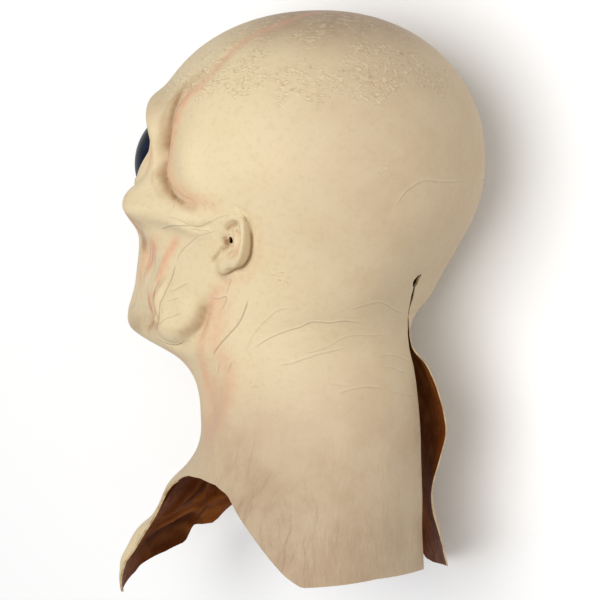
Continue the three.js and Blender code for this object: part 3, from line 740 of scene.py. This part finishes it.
def along_hem(points, side):
    openings = [test(points, each) for test in (in_eye, in_ear_hole) for each in (1, -1)]
    return ~np.any(openings, axis=0)


open_for_editing(skin, 'EDGE')
for test, side in ((in_eye, 1), (in_eye, -1), (in_ear_hole, 1), (in_ear_hole, -1), (along_hem, 1)):
    bpy.ops.mesh.select_all(action='DESELECT')
    sheet = bmesh.from_edit_mesh(skin.data)
    edges = [edge for edge in sheet.edges if edge.is_boundary]
    middles = pick_up(np.array([(edge.verts[0].co + edge.verts[1].co) / 2 for edge in edges]))
    for edge, chosen in zip(edges, test(middles, side)):
        edge.select_set(bool(chosen))
    bmesh.update_edit_mesh(skin.data)
    bpy.ops.mesh.bridge_edge_loops()
bpy.ops.mesh.select_all(action='SELECT')
bpy.ops.mesh.normals_make_consistent(inside=False)
bpy.ops.object.mode_set(mode='OBJECT')
bpy.ops.object.shade_smooth()

OUTSIDE, INSIDE, CUT_EDGE = 0, 1, 2
body = bmesh.new()
body.from_mesh(skin.data)
inside_mark = body.verts.layers.float["inside"]
for face in body.faces:
    marks = {round(vertex[inside_mark]) for vertex in face.verts}
    face.material_index = CUT_EDGE if len(marks) == 2 else (INSIDE if 1 in marks else OUTSIDE)
for edge in body.edges:
    edge.smooth = len({face.material_index for face in edge.link_faces}) == 1
body.to_mesh(skin.data)
body.free()

# Airbrushed colour, and painted shade in the brown: the lines it follows, how wide it spreads in millimetres,
# and how strong.
BLUSH = [
    ([(57, 341), (67, 351), (71, 364), (74, 378), (80, 387), (90, 393), (106, 400), (125, 402)], 4.5,
     0.46),
    ([(66, 351), (62, 345), (60.3, 336), (60.5, 325), (60, 314), (58.8, 302), (59.5, 292), (64, 282),
     (72, 276.5), (80, 273.5)], 6, 0.6),
    ([(66, 351), (61, 344), (58.7, 334), (59, 322), (58.4, 312)], 3, 0.4),
    ([(54, 246.5), (49.5, 238), (46, 230), (45, 222)], 5.5, 0.9),
    ([(65.5, 250), (63.2, 242.5), (61, 235), (59.3, 226), (57.3, 216)], 3.2, 0.72),
    ([(57, 211), (54, 204), (54, 196), (55.5, 188)], 3, 0.6),
    ([(42, 256), (40, 240), (39, 225), (42, 206)], 5.5, 0.45),
    ([(51.5, 210), (53.5, 199), (54, 190), (50, 184)], 3, 0.7),
    ([(84, 216), (81, 208), (79, 198), (77, 188), (74.5, 178), (69, 169), (59, 158.5), (53, 147.5),
     (46, 138)], 3, 0.55),
    ([(87, 222), (84, 204), (82, 190), (80, 176), (74, 153), (64, 130), (57, 110)], 8, 0.4),
    ([(44, 168), (43, 160), (38, 150)], 5, 0.5),
    ([(64, 160), (56, 140), (50, 118), (48, 104)], 9, 0.4),
    ([(10, 322), (22, 330), (34, 329), (44, 318), (47, 306), (45, 296)], 4.5, 0.5),
    ([(0, 262), (6, 262), (9, 259)], 5, 0.45), ([(0, 235), (8, 234), (17, 232)], 4, 0.55),
    ([(0, 222), (9, 223), (15, 226)], 4, 0.5), ([(0, 209), (12, 210)], 6, 0.35),
    ([(20, 262), (32, 258), (44, 252)], 7, 0.45),
]
# Brown: partly airbrushed paint, partly painted shade in the creases, hollows and nostrils and over the brow
# and chin.
UMBER_AND_SHADE = [
    ([(70, 368), (62, 356), (55, 348), (55.5, 337), (55.5, 328), (55, 318), (55, 306), (54, 297)], 4.5,
     0.3),
    ([(56.4, 352), (54.6, 341), (55.1, 332), (55.4, 323), (55, 315), (54.3, 306)], 2.2, 0.75),
    ([(53.4, 348), (52, 338), (52.8, 329), (54, 321)], 1.6, 0.3),
    ([(54, 303), (53.3, 297), (53.8, 290), (56.8, 283.5), (60.6, 278.5), (65.5, 274.8)], 1.9, 0.85),
    ([(52, 297), (52.3, 291), (55.3, 284), (59.3, 278)], 2.2, 0.35),
    ([(50.5, 294), (51.2, 287), (54.5, 280.5), (59, 275.5)], 1.0, 0.3),
    ([(61, 279), (64.5, 275.8), (68, 273.6)], 1.6, 0.7), ([(66, 274), (70, 271.5), (74, 270)], 3, 0.35),
    ([(20, 352), (34, 346), (46, 341), (52, 334)], 13, 0.2),
    ([(20, 186), (38, 184), (50, 185), (58, 184)], 10, 0.22),
    ([(77.5, 206), (76, 198), (74, 191), (70.5, 185), (65.5, 180.5)], 3.8, 0.42),
    ([(78.5, 204), (77, 197), (75, 190), (71, 182.5)], 1.4, 0.35),
    ([(51.5, 208), (53.7, 198), (53.3, 191), (50, 185), (47, 180)], 1.8, 0.5),
    ([(61.5, 222), (59, 215), (56.7, 207), (56.7, 198), (58.3, 190), (55, 184)], 1.2, 0.45),
    ([(45, 254), (41, 247), (38.3, 238)], 2.6, 0.4), ([(37, 258), (38, 246), (37, 236)], 3.2, 0.55),
    ([(30, 262), (40, 260), (50, 257)], 4, 0.3),
    ([(0, 229), (8, 228.6), (18, 231.5)], 1.8, 0.75), ([(3, 255.5), (5, 256.5)], 2.6, 0.9),
    ([(8, 300), (14, 298), (18, 290)], 7, 0.35),
    ([(12, 262), (17, 250), (21, 240), (23, 228)], 3, 0.4), ([(40, 184), (34, 180), (20, 178)], 6, 0.3),
]
# Painted shade and painted light inside the chest flap, on one side only, in the same way.
FLAP_SHADES = [
    ([(-24, 30), (-18, 26), (-12, 21), (-5, 15), (0, 10)], 7, 0.8),
    ([(-24, 14), (-16, 8), (-6, 3)], 7, 0.6),
    ([(-17, 60), (-14, 52), (-9, 44), (-5, 35), (-1, 27)], 3, 0.7),
    ([(-24.8, 36), (-25.2, 28), (-25, 20)], 2, 0.7),
    ([(-40, 54), (-32, 52), (-24, 56), (-18, 60)], 4, 0.6),
]
FLAP_LIGHTS = [
    ([(-22, 39), (-16, 34), (-11, 29), (-3.7, 23)], 2, 0.75), ([(-20, 62), (-18, 52), (-17, 42)], 2, 0.4),
    ([(-34, 44), (-27, 43.5), (-22, 41)], 2, 0.5), ([(-34, 33), (-30, 28), (-27, 24)], 8, 0.4),
    ([(-14, 60), (-10, 50), (-6.5, 42), (-4, 33)], 1.4, 0.4),
]
# Fine creases left by the sculptor's tool: places and depth in millimetres.
CREASES = [
    ([(57.3, 351), (55.3, 341), (55.9, 331), (56, 322), (55.2, 314), (54.6, 306), (54, 299), (54.6, 292),
     (57, 285.5), (60.7, 279.3), (66, 275.3), (71, 273)], 0.5),
    ([(55, 294), (57.3, 287.5), (61, 280.5), (64.7, 275), (68, 273)], 0.21),
    ([(57.5, 295), (60.5, 286), (67.7, 279), (73, 275.5)], 0.21), ([(63, 276), (64.7, 270)], 0.24),
    ([(75.7, 274.5), (77.7, 270)], 0.21), ([(80, 275.5), (81, 271.5)], 0.17),
    ([(62, 264.5), (66.3, 264), (70, 261.5), (73.3, 258.5), (76.7, 259), (80, 262), (83.3, 265),
     (87, 267)], 0.21),
    ([(56.3, 254), (62, 257), (66.3, 259), (72.7, 259)], 0.35),
    ([(72.3, 256.5), (76.3, 255.5), (79.7, 255.5)], 0.24),
    ([(82.3, 256), (78, 253), (74.3, 250.5), (71.3, 246), (68.7, 242), (66.7, 237), (66.3, 231.5)], 0.35),
    ([(79.3, 254.5), (75.3, 252.5), (71.7, 250.5)], 0.21),
    ([(60, 221.5), (57.7, 214.5), (57, 209.5), (56.7, 201.5), (56.3, 194), (52, 185.5)], 0.4),
    ([(66, 231.5), (65, 226.5), (64, 221), (62.3, 214.5), (60.7, 206.5), (59.7, 201.5), (59.7, 193.5),
     (57, 187), (52.7, 180.5)], 0.5), ([(53, 236), (52.6, 228), (54, 221)], 0.35),
    ([(56.3, 236), (57, 227), (57.3, 220)], 0.35), ([(64.3, 211), (68, 214.5), (72, 218.5)], 0.3),
    ([(62.7, 204.5), (68, 207.5)], 0.25),
    ([(59.3, 188), (63.3, 193.5), (66, 195), (69.7, 198)], 0.3),
    ([(51.3, 176.5), (55, 172.5), (59.3, 172), (65.7, 175.5)], 0.4),
    ([(96.3, 211), (94, 201), (90.3, 192), (85.3, 182.5), (79.3, 173.5), (74, 168)], 0.6),
    ([(81, 208.5), (83.7, 208.5), (86.7, 210.5), (86, 205), (84.3, 200)], 0.35),
    ([(88.7, 222.5), (87.7, 217.5), (86.7, 213)], 0.3), ([(73.3, 156.5), (81, 165.5)], 0.4),
    ([(66.3, 155), (73, 163)], 0.35),
    ([(89.3, 171), (94.7, 181), (99.3, 189.5), (104.7, 197), (109.3, 203), (115, 204.5)], 0.21),
    ([(137.3, 203.5), (141.3, 206), (148.3, 208.5), (153.7, 207), (162, 202), (173.7, 197.5)], 0.25),
    ([(92, 173), (99, 179), (105, 184), (112, 188.5), (118.3, 191.5), (122.3, 195), (127, 195),
     (130.7, 194.5), (135, 196), (139.7, 195.5), (147.3, 193.5)], 0.34),
    ([(100.3, 165), (108.3, 166.5), (114, 169), (119, 171), (125, 173.5), (130.3, 175), (139.7, 178)],
     0.25),
    ([(116.7, 174), (123, 175), (130, 178.5), (135.3, 183), (140.3, 185.5), (153.7, 185), (160.3, 185)],
     0.17),
    ([(152.7, 170.5), (162.7, 171), (168.3, 169), (176.7, 165)], 0.21),
    ([(155.3, 163.5), (160, 163), (165, 160), (172.7, 158)], 0.21),
    ([(127, 147.5), (132, 149.5), (137.3, 151), (143.3, 151.5), (152.3, 149.5)], 0.25),
    ([(157.7, 146.5), (164.3, 145), (174.3, 142)], 0.17),
    ([(123.7, 154), (128.3, 153.5), (134.3, 152.5)], 0.13),
    ([(142.3, 273.5), (144, 279.5), (146.3, 284), (149.3, 287.5), (152.3, 290), (159, 289),
     (165.3, 288.5), (174.3, 289)], 0.25), ([(0, 345), (12, 347), (26, 346)], 0.5),
    ([(0, 358), (14, 361), (30, 358)], 0.5), ([(2, 300), (6, 306), (12, 311)], 0.4),
    ([(24, 281), (34, 279), (42, 283)], 0.5), ([(22, 276), (34, 273.5), (44, 277)], 0.4),
    ([(4, 232), (5, 238)], 0.3), ([(10, 231), (10, 237)], 0.3), ([(26, 250), (28, 238), (27, 226)], 0.5),
    ([(31, 248), (34, 236), (33, 222), (30, 210)], 0.45), ([(38, 208), (34, 198), (26, 190)], 0.4),
    ([(44.5, 246), (43, 236), (43.5, 224), (45, 212)], 0.45),
]
# On the ear, painted shade in its creases and bowl, then airbrushed pink: y and z of the places, strength,
# and half width.
EAR_SHADES = [
    ([(-18.7, 256), (-16.2, 258.5), (-12.5, 260.4), (-7.4, 262)], 0.65, 1.7),
    ([(-21, 253), (-20, 249), (-20.5, 246)], 0.6, 2.6), ([(-17.5, 251), (-16, 247)], 0.7, 3.0),
    (EAR_FOLDS[5][0], 0.55, 1.3), ([(-9, 256.6), (-7, 256.9)], 0.35, 1.2), (EAR_FOLDS[6][0], 0.5, 1.0),
]
EAR_BLUSH = [
    (EAR_FOLDS[4][0], 0.42, 1.5), ([(-13.5, 252), (-13, 247), (-15, 243.5)], 0.4, 1.6),
]
CREASE_LAYERS, LAYER_ROOM = 3, 8.0
CREASE_REACH, CREASE_FADE, CREASE_FADE_WAY = 9.0, 3.6, 1.6


def taper(share, way):
    """1 along a line, and down to 0 at both of its ends."""
    return smooth(share / way) * smooth((1 - share) / way)


def airbrush(points, strokes):
    bare = np.ones(len(points))
    for places, width, strength in strokes:
        near, distance, share, _, _ = nearest_on_line(points, line_on_head(places), 3 * width)
        bare[near] *= 1 - strength * (0.35 + 0.65 * taper(share, 0.15)) * np.exp(-(distance / width) ** 2)
    return 1 - bare


def sort_creases():
    """Deals the creases out so that those of one layer stay well apart."""
    layers = [[] for _ in range(CREASE_LAYERS)]
    for places, depth in CREASES:
        line = line_on_head(places)
        room = [min([np.sqrt(((line[:, None] - other[None]) ** 2).sum(-1)).min() for other, _ in layer],
                    default=FAR) for layer in layers]
        free = [k for k in range(CREASE_LAYERS) if room[k] > LAYER_ROOM]
        layers[free[0] if free else int(np.argmax(room))].append((line, depth))
    return layers


def paint_creases(mesh, points):
    """Keeps, for each layer, how far a vertex is above or below its crease, and how deep that is."""
    for number, layer in enumerate(sort_creases()):
        beside, depths = np.full(len(points), CREASE_REACH), np.zeros(len(points))
        nearest = np.full(len(points), np.inf)
        for line, depth in layer:
            near, distance, share, offset, way = nearest_on_line(points, line, CREASE_REACH)
            turn = (np.cross(way, offset) * points[near] * [1, 1, 0]).sum(1)
            closer = distance < nearest[near]
            chosen = near[closer]
            nearest[chosen] = distance[closer]
            beside[chosen] = (distance * np.where(turn < 0, -1, 1))[closer]
            hold = 1 - smooth((distance - CREASE_FADE) / CREASE_FADE_WAY)
            depths[chosen] = (depth * taper(share, 0.12) * hold)[closer]
        write_values(mesh, f"crease_{number}", beside)
        write_values(mesh, f"crease_{number}_depth", depths)


def ramp(values, start, way):
    """0 before a start and 1 a way past it, which is downwards where the way is negative."""
    return smooth((values - start) / way)


def ring(reach, middle, width):
    return np.exp(-((reach - middle) / width) ** 2)


form = read_values(skin.data, "plain", 3)
mirrored = fold_sides(form)
x, y, z = form.T
paint_creases(skin.data, mirrored)
from_middle = np.hypot(y - EAR_MIDDLE[0], z - EAR_MIDDLE[1])
angle = np.arctan2(z - EAR_MIDDLE[1], y - EAR_MIDDLE[0])
reach = from_middle / ear_outline_radius(angle)
at_ear = (np.abs(x) > EAR_LEAST_X) & (from_middle < 60)
under_ear = ramp(np.cos(angle + np.radians(45)), -0.05, 0.6)
behind_ear = ramp(np.cos(angle + 0.1), 0.25, 0.4)
# Brown paint and a painted shadow along the root behind the ear.
ear_root = ring(reach, 1.31, 0.06) * under_ear
# A faint pink ring under the ear, partly paint and partly a painted shadow.
beside_ear = ring(reach, 1.6, 0.14) * under_ear
for name, values in (
        ("blush", airbrush(mirrored, BLUSH)),
        ("umber_and_painted_shade", airbrush(mirrored, UMBER_AND_SHADE)),
        # Painted shade and painted light inside the chest flap.
        ("flap_painted_shade", airbrush(form, FLAP_SHADES)),
        ("thin", airbrush(form, FLAP_LIGHTS)),
        ("tan", np.clip(0.8 * ramp(y, -25, 120) + 0.4 * ramp(z, 365, 40), 0, 1)),
        ("rosy", ramp(z, 190, -90) * ramp(y, -120, 60)),
        ("crinkle", ramp(z, 318, 40) * (1 - 0.3 * ramp(y, 50, 60))),
        # The top of the head darker grey-brown: partly its paint, partly painted shade.
        ("crown", ramp(z, 366, 36) * ramp(y, -60, 60)),
        # Painted shade, darker towards the hem; the same mask bounds the bib's hanging wrinkles.
        ("bib", ramp(z, 165, -130) * ramp(y, -70, 60) * (1 - 0.5 * ramp(y, 10, 60))),
        ("ear_shade", np.clip(0.85 * ear_root + raise_folds(y, z, EAR_SHADES), 0, 1) * at_ear),
        # A painted highlight on the wall behind the ear's rim.
        ("ear_wall_painted_light", ramp(reach, 0.96, 0.08) * ramp(reach, 1.26, -0.1) * behind_ear * at_ear),
        ("ear_blush", np.clip(0.15 * beside_ear + raise_folds(y, z, EAR_BLUSH), 0, 1) * at_ear)):
    write_values(skin.data, name, values)
for spent in ("plain", "azimuth"):
    skin.data.attributes.remove(skin.data.attributes[spent])


def srgb(red, green, blue):
    """A colour as it looks on a screen, 0 to 255, as the light value that shaders take."""
    shares = [value / 255 for value in (red, green, blue)]
    return [share / 12.92 if share < 0.04045 else ((share + 0.055) / 1.055) ** 2.4 for share in shares] + [1]


class NodeWork:
    """Adds nodes to the tree of a material or a node group."""

    def __init__(self, tree):
        self.tree = tree

    def feed(self, node, inputs):
        """Links each input of a node to a socket or sets it to a value."""
        for key, value in inputs.items():
            if isinstance(value, bpy.types.NodeSocket):
                self.tree.links.new(value, node.inputs[key])
            else:
                node.inputs[key].default_value = value

    def add(self, kind, inputs, **settings):
        """A node with its settings and inputs, given as its outputs."""
        node = self.tree.nodes.new("ShaderNode" + kind)
        for name, value in settings.items():
            setattr(node, name, value)
        self.feed(node, inputs)
        return node.outputs

    def calculate(self, operation, first, second=0.0):
        return self.add("Math", {0: first, 1: second}, operation=operation)[0]

    def times(self, first, second):
        return self.calculate('MULTIPLY', first, second)

    def plus(self, total, *others):
        for other in others:
            total = self.calculate('ADD', total, other)
        return total

    def grade(self, value, low, high, to_low=0.0, to_high=1.0):
        inputs = {"Value": value, "From Min": low, "From Max": high, "To Min": to_low, "To Max": to_high}
        return self.add("MapRange", inputs, interpolation_type='SMOOTHSTEP')[0]

    def noise(self, place, scale, detail, **others):
        return self.add("TexNoise", {"Vector": place, "Scale": scale, "Detail": detail, **others})["Fac"]

    def cloud(self, place, size):
        return self.add("Group", {"Place": place, "Size": size}, node_tree=mottle)["Shade"]

    def read(self, name):
        return self.add("Attribute", {}, attribute_name=name)["Fac"]

    def lay_coats(self, colour, coats):
        """Colours laid over each other, each in an amount from 0 to 1."""
        for amount, coat in coats:
            inputs = {0: amount, 6: colour, 7: srgb(*coat)}
            colour = self.add("Mix", inputs, data_type='RGBA', clamp_factor=True)[2]
        return colour

    def lay_relief(self, height):
        return self.add("Bump", {"Height": height, "Distance": 1.0, "Strength": 1.0})[0]

    def shade(self, inputs):
        self.feed(self.tree.nodes["Principled BSDF"], inputs)


def new_group(name, inputs, outputs):
    """A node group whose place is a vector and whose other sockets are numbers."""
    group = bpy.data.node_groups.new(name, "ShaderNodeTree")
    for sockets, way in ((inputs, 'INPUT'), (outputs, 'OUTPUT')):
        for socket in sockets:
            kind = "NodeSocketVector" if socket == "Place" else "NodeSocketFloat"
            group.interface.new_socket(socket, in_out=way, socket_type=kind)
    given = group.nodes.new("NodeGroupInput").outputs
    return group, NodeWork(group), given, group.nodes.new("NodeGroupOutput")


def new_material(name):
    material = bpy.data.materials.new(name)
    material.use_nodes = True
    work = NodeWork(material.node_tree)
    return material, work, work.add("TexCoord", {})["Object"]


# Crumpled latex: short raised flecks in patches, each with a painted shadow along its lower side.
crumple, work, given, result = new_group("crumpled latex", ("Place", "Size", "Patch Size", "Cover"),
                                         ("Fleck", "Painted Shadow"))
scale = work.calculate('DIVIDE', 1.0, given["Size"])
flecks = []
for shift in ((0, 0, 0), (0, 0.0007, 0.0001)):
    stretched = work.add("Mapping", {"Vector": given["Place"], "Rotation": (0, 0, 0.35), "Scale": (0.5, 1, 1),
                                     "Location": shift})[0]
    flecks.append(work.grade(work.noise(stretched, scale, 1.5, Roughness=0.6, Distortion=0.35), 0.50, 0.64))
patches = work.noise(given["Place"], work.calculate('DIVIDE', 1.0, given["Patch Size"]), 2.0)
limit = work.calculate('SUBTRACT', 1.0, given["Cover"])
patch = work.grade(work.calculate('SUBTRACT', patches, limit), -0.06, 0.10)
# The painted shadow: a copy of the flecks set a little lower, less the flecks.
hollow = work.calculate('MAXIMUM', work.calculate('SUBTRACT', flecks[1], flecks[0]), 0.0)
work.feed(result, {"Fleck": work.times(flecks[0], patch), "Painted Shadow": work.times(hollow, patch)})

# Uneven colour: soft clouds with finer ones in them.
mottle, work, given, result = new_group("mottled colour", ("Place", "Size"), ("Shade",))
clouds = work.noise(given["Place"], work.calculate('DIVIDE', 1.0, given["Size"]), 6.0, Roughness=0.62)
work.feed(result, {"Shade": work.grade(clouds, 0.28, 0.72)})


def crease_profile(work, number):
    """A narrow groove and a soft lip along its upper side, from the distance to its line."""
    beside, depth = work.read(f"crease_{number}"), work.read(f"crease_{number}_depth")
    bells = []
    for middle, steepness in ((0.0, -4.2), (1.1, -1.8)):
        away = work.calculate('SUBTRACT', beside, middle)
        bell = work.calculate('EXPONENT', work.times(work.calculate('POWER', away, 2.0), steepness))
        bells.append(work.times(bell, depth))
    return bells


painted, work, place = new_material("painted latex")
clouds, specks = work.cloud(place, 0.03), work.cloud(place, 0.004)
grooves, lips = zip(*[crease_profile(work, number) for number in range(CREASE_LAYERS)])
groove, lip = work.plus(*grooves), work.plus(*lips)
cover = work.grade(work.read("crinkle"), 0.0, 1.0, 0.28, 0.60)
flecks = work.add("Group", {"Place": place, "Size": 0.0024, "Patch Size": 0.024, "Cover": cover},
                  node_tree=crumple)
blush = work.plus(work.read("blush"), work.read("ear_blush"))
umber_and_painted_shade = work.plus(work.read("umber_and_painted_shade"), work.read("ear_shade"))
colour = work.lay_coats(srgb(213, 194, 156), (
    (work.read("tan"), (187, 163, 133)),
    # The top of the head darker grey-brown: partly its paint, partly painted shade.
    (work.read("crown"), (153, 124, 97)),
    (work.times(work.read("rosy"), 0.9), (190, 166, 137)),
    # Painted shade, darker towards the hem.
    (work.read("bib"), (160, 134, 107)),
    (work.grade(clouds, 0.0, 1.0, 0.0, 0.22), (216, 202, 171)),
    (work.grade(specks, 0.5, 1.0, 0.0, 0.16), (178, 149, 109)),
    (work.times(blush, work.grade(specks, 0.0, 1.0, 0.7, 1.0)), (212, 150, 118)),
    # Brown paint and painted shade, from the airbrushed lines and the ear's painted shade.
    (work.times(umber_and_painted_shade, work.grade(specks, 0.0, 1.0, 0.85, 1.0)), (136, 90, 46)),
    # A painted highlight on the wall behind the ear's rim.
    (work.times(work.read("ear_wall_painted_light"), 0.55), (240, 214, 172)),
    # Painted shade in each crease, and a painted highlight along its lip.
    (work.times(groove, 0.7), (146, 106, 64)),
    (work.times(lip, 0.6), (223, 213, 185)),
    # A painted shadow below each fleck and a painted highlight on its top.
    (work.times(flecks["Painted Shadow"], 0.5), (162, 132, 92)),
    (work.times(flecks["Fleck"], 0.3), (226, 208, 172))))
# Its relief: hanging wrinkles on the bib, flecks, a net of pores, creases and a fine grain.
warp = work.add("TexNoise", {"Vector": place, "Scale": 90.0, "Detail": 2.0})["Color"]
warped = work.add("Mix", {0: 0.012, 4: place, 5: warp}, data_type='VECTOR')[1]
cells = work.add("TexVoronoi", {"Vector": warped, "Scale": 260.0}, feature='DISTANCE_TO_EDGE')["Distance"]
net = work.times(work.grade(cells, 0.07, 0.0), work.cloud(place, 0.05))
hanging = work.add("Mapping", {"Vector": place, "Scale": (1, 0.28, 0.7), "Rotation": (0, 0, 0.15)})[0]
wrinkle = work.times(work.grade(work.noise(hanging, 120.0, 3.0), 0.40, 0.66), work.read("bib"))
height = work.plus(work.times(wrinkle, 0.0009), work.times(flecks["Fleck"], 0.0003),
                   work.times(net, -0.00006), work.times(groove, -0.0006), work.times(lip, 0.0004),
                   work.times(work.noise(place, 1400.0, 3.0), 0.00004))
work.shade({"Base Color": colour, "Roughness": work.grade(clouds, 0.0, 1.0, 0.50, 0.60),
            "Specular IOR Level": 0.35, "Normal": work.lay_relief(height)})

bare, work, place = new_material("bare latex")
streaks = work.cloud(place, 0.008)
ridges_and_painted_highlight = work.add("Group", {"Place": place, "Size": 0.016, "Patch Size": 0.05, "Cover": 0.5},
                 node_tree=crumple)["Fleck"]
colour = work.lay_coats(srgb(90, 38, 6), (
    (work.cloud(place, 0.05), (120, 64, 20)),
    (work.grade(streaks, 0.4, 1.0, 0.0, 0.35), (66, 26, 3)),
    # A painted highlight on the raised crumples.
    (work.times(ridges_and_painted_highlight, 0.3), (158, 98, 44)),
    # Painted shade and painted light inside the chest flap.
    (work.read("flap_painted_shade"), (50, 14, 1)),
    (work.read("thin"), (150, 88, 34))))
height = work.plus(work.times(ridges_and_painted_highlight, 0.0003), work.times(work.noise(place, 45.0, 2.0), 0.0012))
work.shade({"Base Color": colour, "Roughness": work.grade(streaks, 0.0, 1.0, 0.46, 0.58),
            "Specular IOR Level": 0.03, "Normal": work.lay_relief(height)})

edge_cut, work, place = new_material("cut latex edge")
patches = work.cloud(place, 0.006)
work.shade({"Base Color": work.lay_coats(srgb(150, 118, 76), ((patches, (205, 182, 140)),)),
            "Roughness": work.grade(patches, 0.0, 1.0, 0.5, 0.62)})

for material in (painted, bare, edge_cut):
    skin.data.materials.append(material)
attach(skin, "root")
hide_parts("latex_skin")

# The eyes. Each real lens is a domed slice of smoked plastic, trimmed to an almond a little larger
# than the opening and held behind the eyelids.
LENS_WALL, LENS_SHARE, LENS_RIM_DEPTH = 2.0, 1.1, 4


def lens_share(points):
    """1 on the lens's outline and less inside it."""
    in_front = points[:, 1] < EYE_CENTRE[1] - LENS_RIM_DEPTH
    return np.where(in_front, eye_share(points) / LENS_SHARE, NO_SHARE)


smoked, work, place = new_material("smoked plastic")
# A bluish painted reflection in soft clouds over the dark lens; the same clouds vary its roughness.
painted_reflection_clouds = work.cloud(place, 0.02)
work.shade({"Base Color": work.lay_coats(srgb(5, 8, 17), ((painted_reflection_clouds, (24, 34, 54)),)),
            "Roughness": work.grade(painted_reflection_clouds, 0.0, 1.0, 0.26, 0.34), "Specular IOR Level": 0.04})

for side, name in ((1, "left"), (-1, "right")):
    deselect_everything()
    centre = lay_down(EYE_CENTRE[None] * [side, 1, 1])[0]
    bpy.ops.mesh.primitive_uv_sphere_add(segments=160, ring_count=100, radius=EYE_RADIUS / 1000,
                                         location=centre, rotation=(np.pi / 2, 0, 0))
    lens = bpy.context.object
    lens.name = f"eye_lens_{name}"
    bpy.ops.object.transform_apply(location=True, rotation=True, scale=True)
    trim(lens, lambda shares: shares > 1, lens_share, snap_to_eye)
    wall = lens.modifiers.new("wall", 'SOLIDIFY')
    wall.thickness = LENS_WALL / 1000
    wall.offset = -1
    bpy.ops.object.modifier_apply(modifier=wall.name)
    bpy.ops.object.shade_smooth_by_angle(angle=np.radians(40))
    lens.data.materials.append(smoked)
    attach(lens, "root")
    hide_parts(f"lens_{name}")

# Floor, light and camera. The mask lies on a pale floor and is seen from above, from its own left
# and a little behind, with its crown at the top of the picture.
deselect_everything()
bpy.ops.mesh.primitive_plane_add(size=8, location=(0, 0, 0))
floor = bpy.context.object
floor.name = "floor"
pale = bpy.data.materials.new("pale floor")
pale.use_nodes = True
pale.node_tree.nodes["Principled BSDF"].inputs["Base Color"].default_value = (0.95, 0.95, 0.95, 1)
pale.node_tree.nodes["Principled BSDF"].inputs["Roughness"].default_value = 0.8
floor.data.materials.append(pale)
floor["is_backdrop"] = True

VIEW_BACK = np.array([0.4973, 0.1045, 0.8613])
VIEW_RIGHT = np.array([0.8660, 0.0, -0.5])
VIEW_TARGET = lay_down(np.array([[5.6, -9.7, 202.96]]))[0]
VIEW_DISTANCE = 1.3
view_back = VIEW_BACK / np.linalg.norm(VIEW_BACK)
view_right = VIEW_RIGHT - view_back * (VIEW_RIGHT @ view_back)
view_right /= np.linalg.norm(view_right)
view_up = np.cross(view_back, view_right)


def stand_at(thing, place, towards, up):
    """Puts a camera or a light at a place, looking along its own -Z towards a point."""
    backwards = (place - towards) / np.linalg.norm(place - towards)
    sideways = np.cross(up, backwards)
    sideways /= np.linalg.norm(sideways)
    upwards = np.cross(backwards, sideways)
    matrix = np.eye(4)
    matrix[:3, 0], matrix[:3, 1], matrix[:3, 2], matrix[:3, 3] = sideways, upwards, backwards, place
    thing.matrix_world = Matrix(matrix)


camera_data = bpy.data.cameras.new("camera")
camera_data.lens = 111.4
camera_data.sensor_width = 36
camera = bpy.data.objects.new("camera", camera_data)
bpy.context.scene.collection.objects.link(camera)
stand_at(camera, VIEW_TARGET + view_back * VIEW_DISTANCE, VIEW_TARGET, view_up)
bpy.context.scene.camera = camera

# Each light: name, how far right, up and back of the mask as the camera sees it, size and power.
LIGHTS = (("key", (-0.75, 0.02, 1.29), 1.3, 19.0), ("fill", (0.5, 0.0, 1.5), 1.6, 3.8))
for name, (rightwards, upwards, backwards), size, power in LIGHTS:
    light = bpy.data.lights.new(name, 'AREA')
    light.shape = 'DISK'
    light.size = size
    light.energy = power
    lamp = bpy.data.objects.new(name, light)
    bpy.context.scene.collection.objects.link(lamp)
    offset = view_right * rightwards + view_up * upwards + view_back * backwards
    stand_at(lamp, VIEW_TARGET + offset, VIEW_TARGET, view_up)
world = bpy.data.worlds.new("studio")
world.use_nodes = True
world.node_tree.nodes["Background"].inputs["Color"].default_value = (1, 1, 1, 1)
world.node_tree.nodes["Background"].inputs["Strength"].default_value = 0.42
bpy.context.scene.world = world
bpy.context.scene.view_settings.view_transform = 'Standard'

size = {"cad": [list(map(float, corner)) for corner in cad_bounds],
        "visual": [list(map(float, corner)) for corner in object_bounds()]}
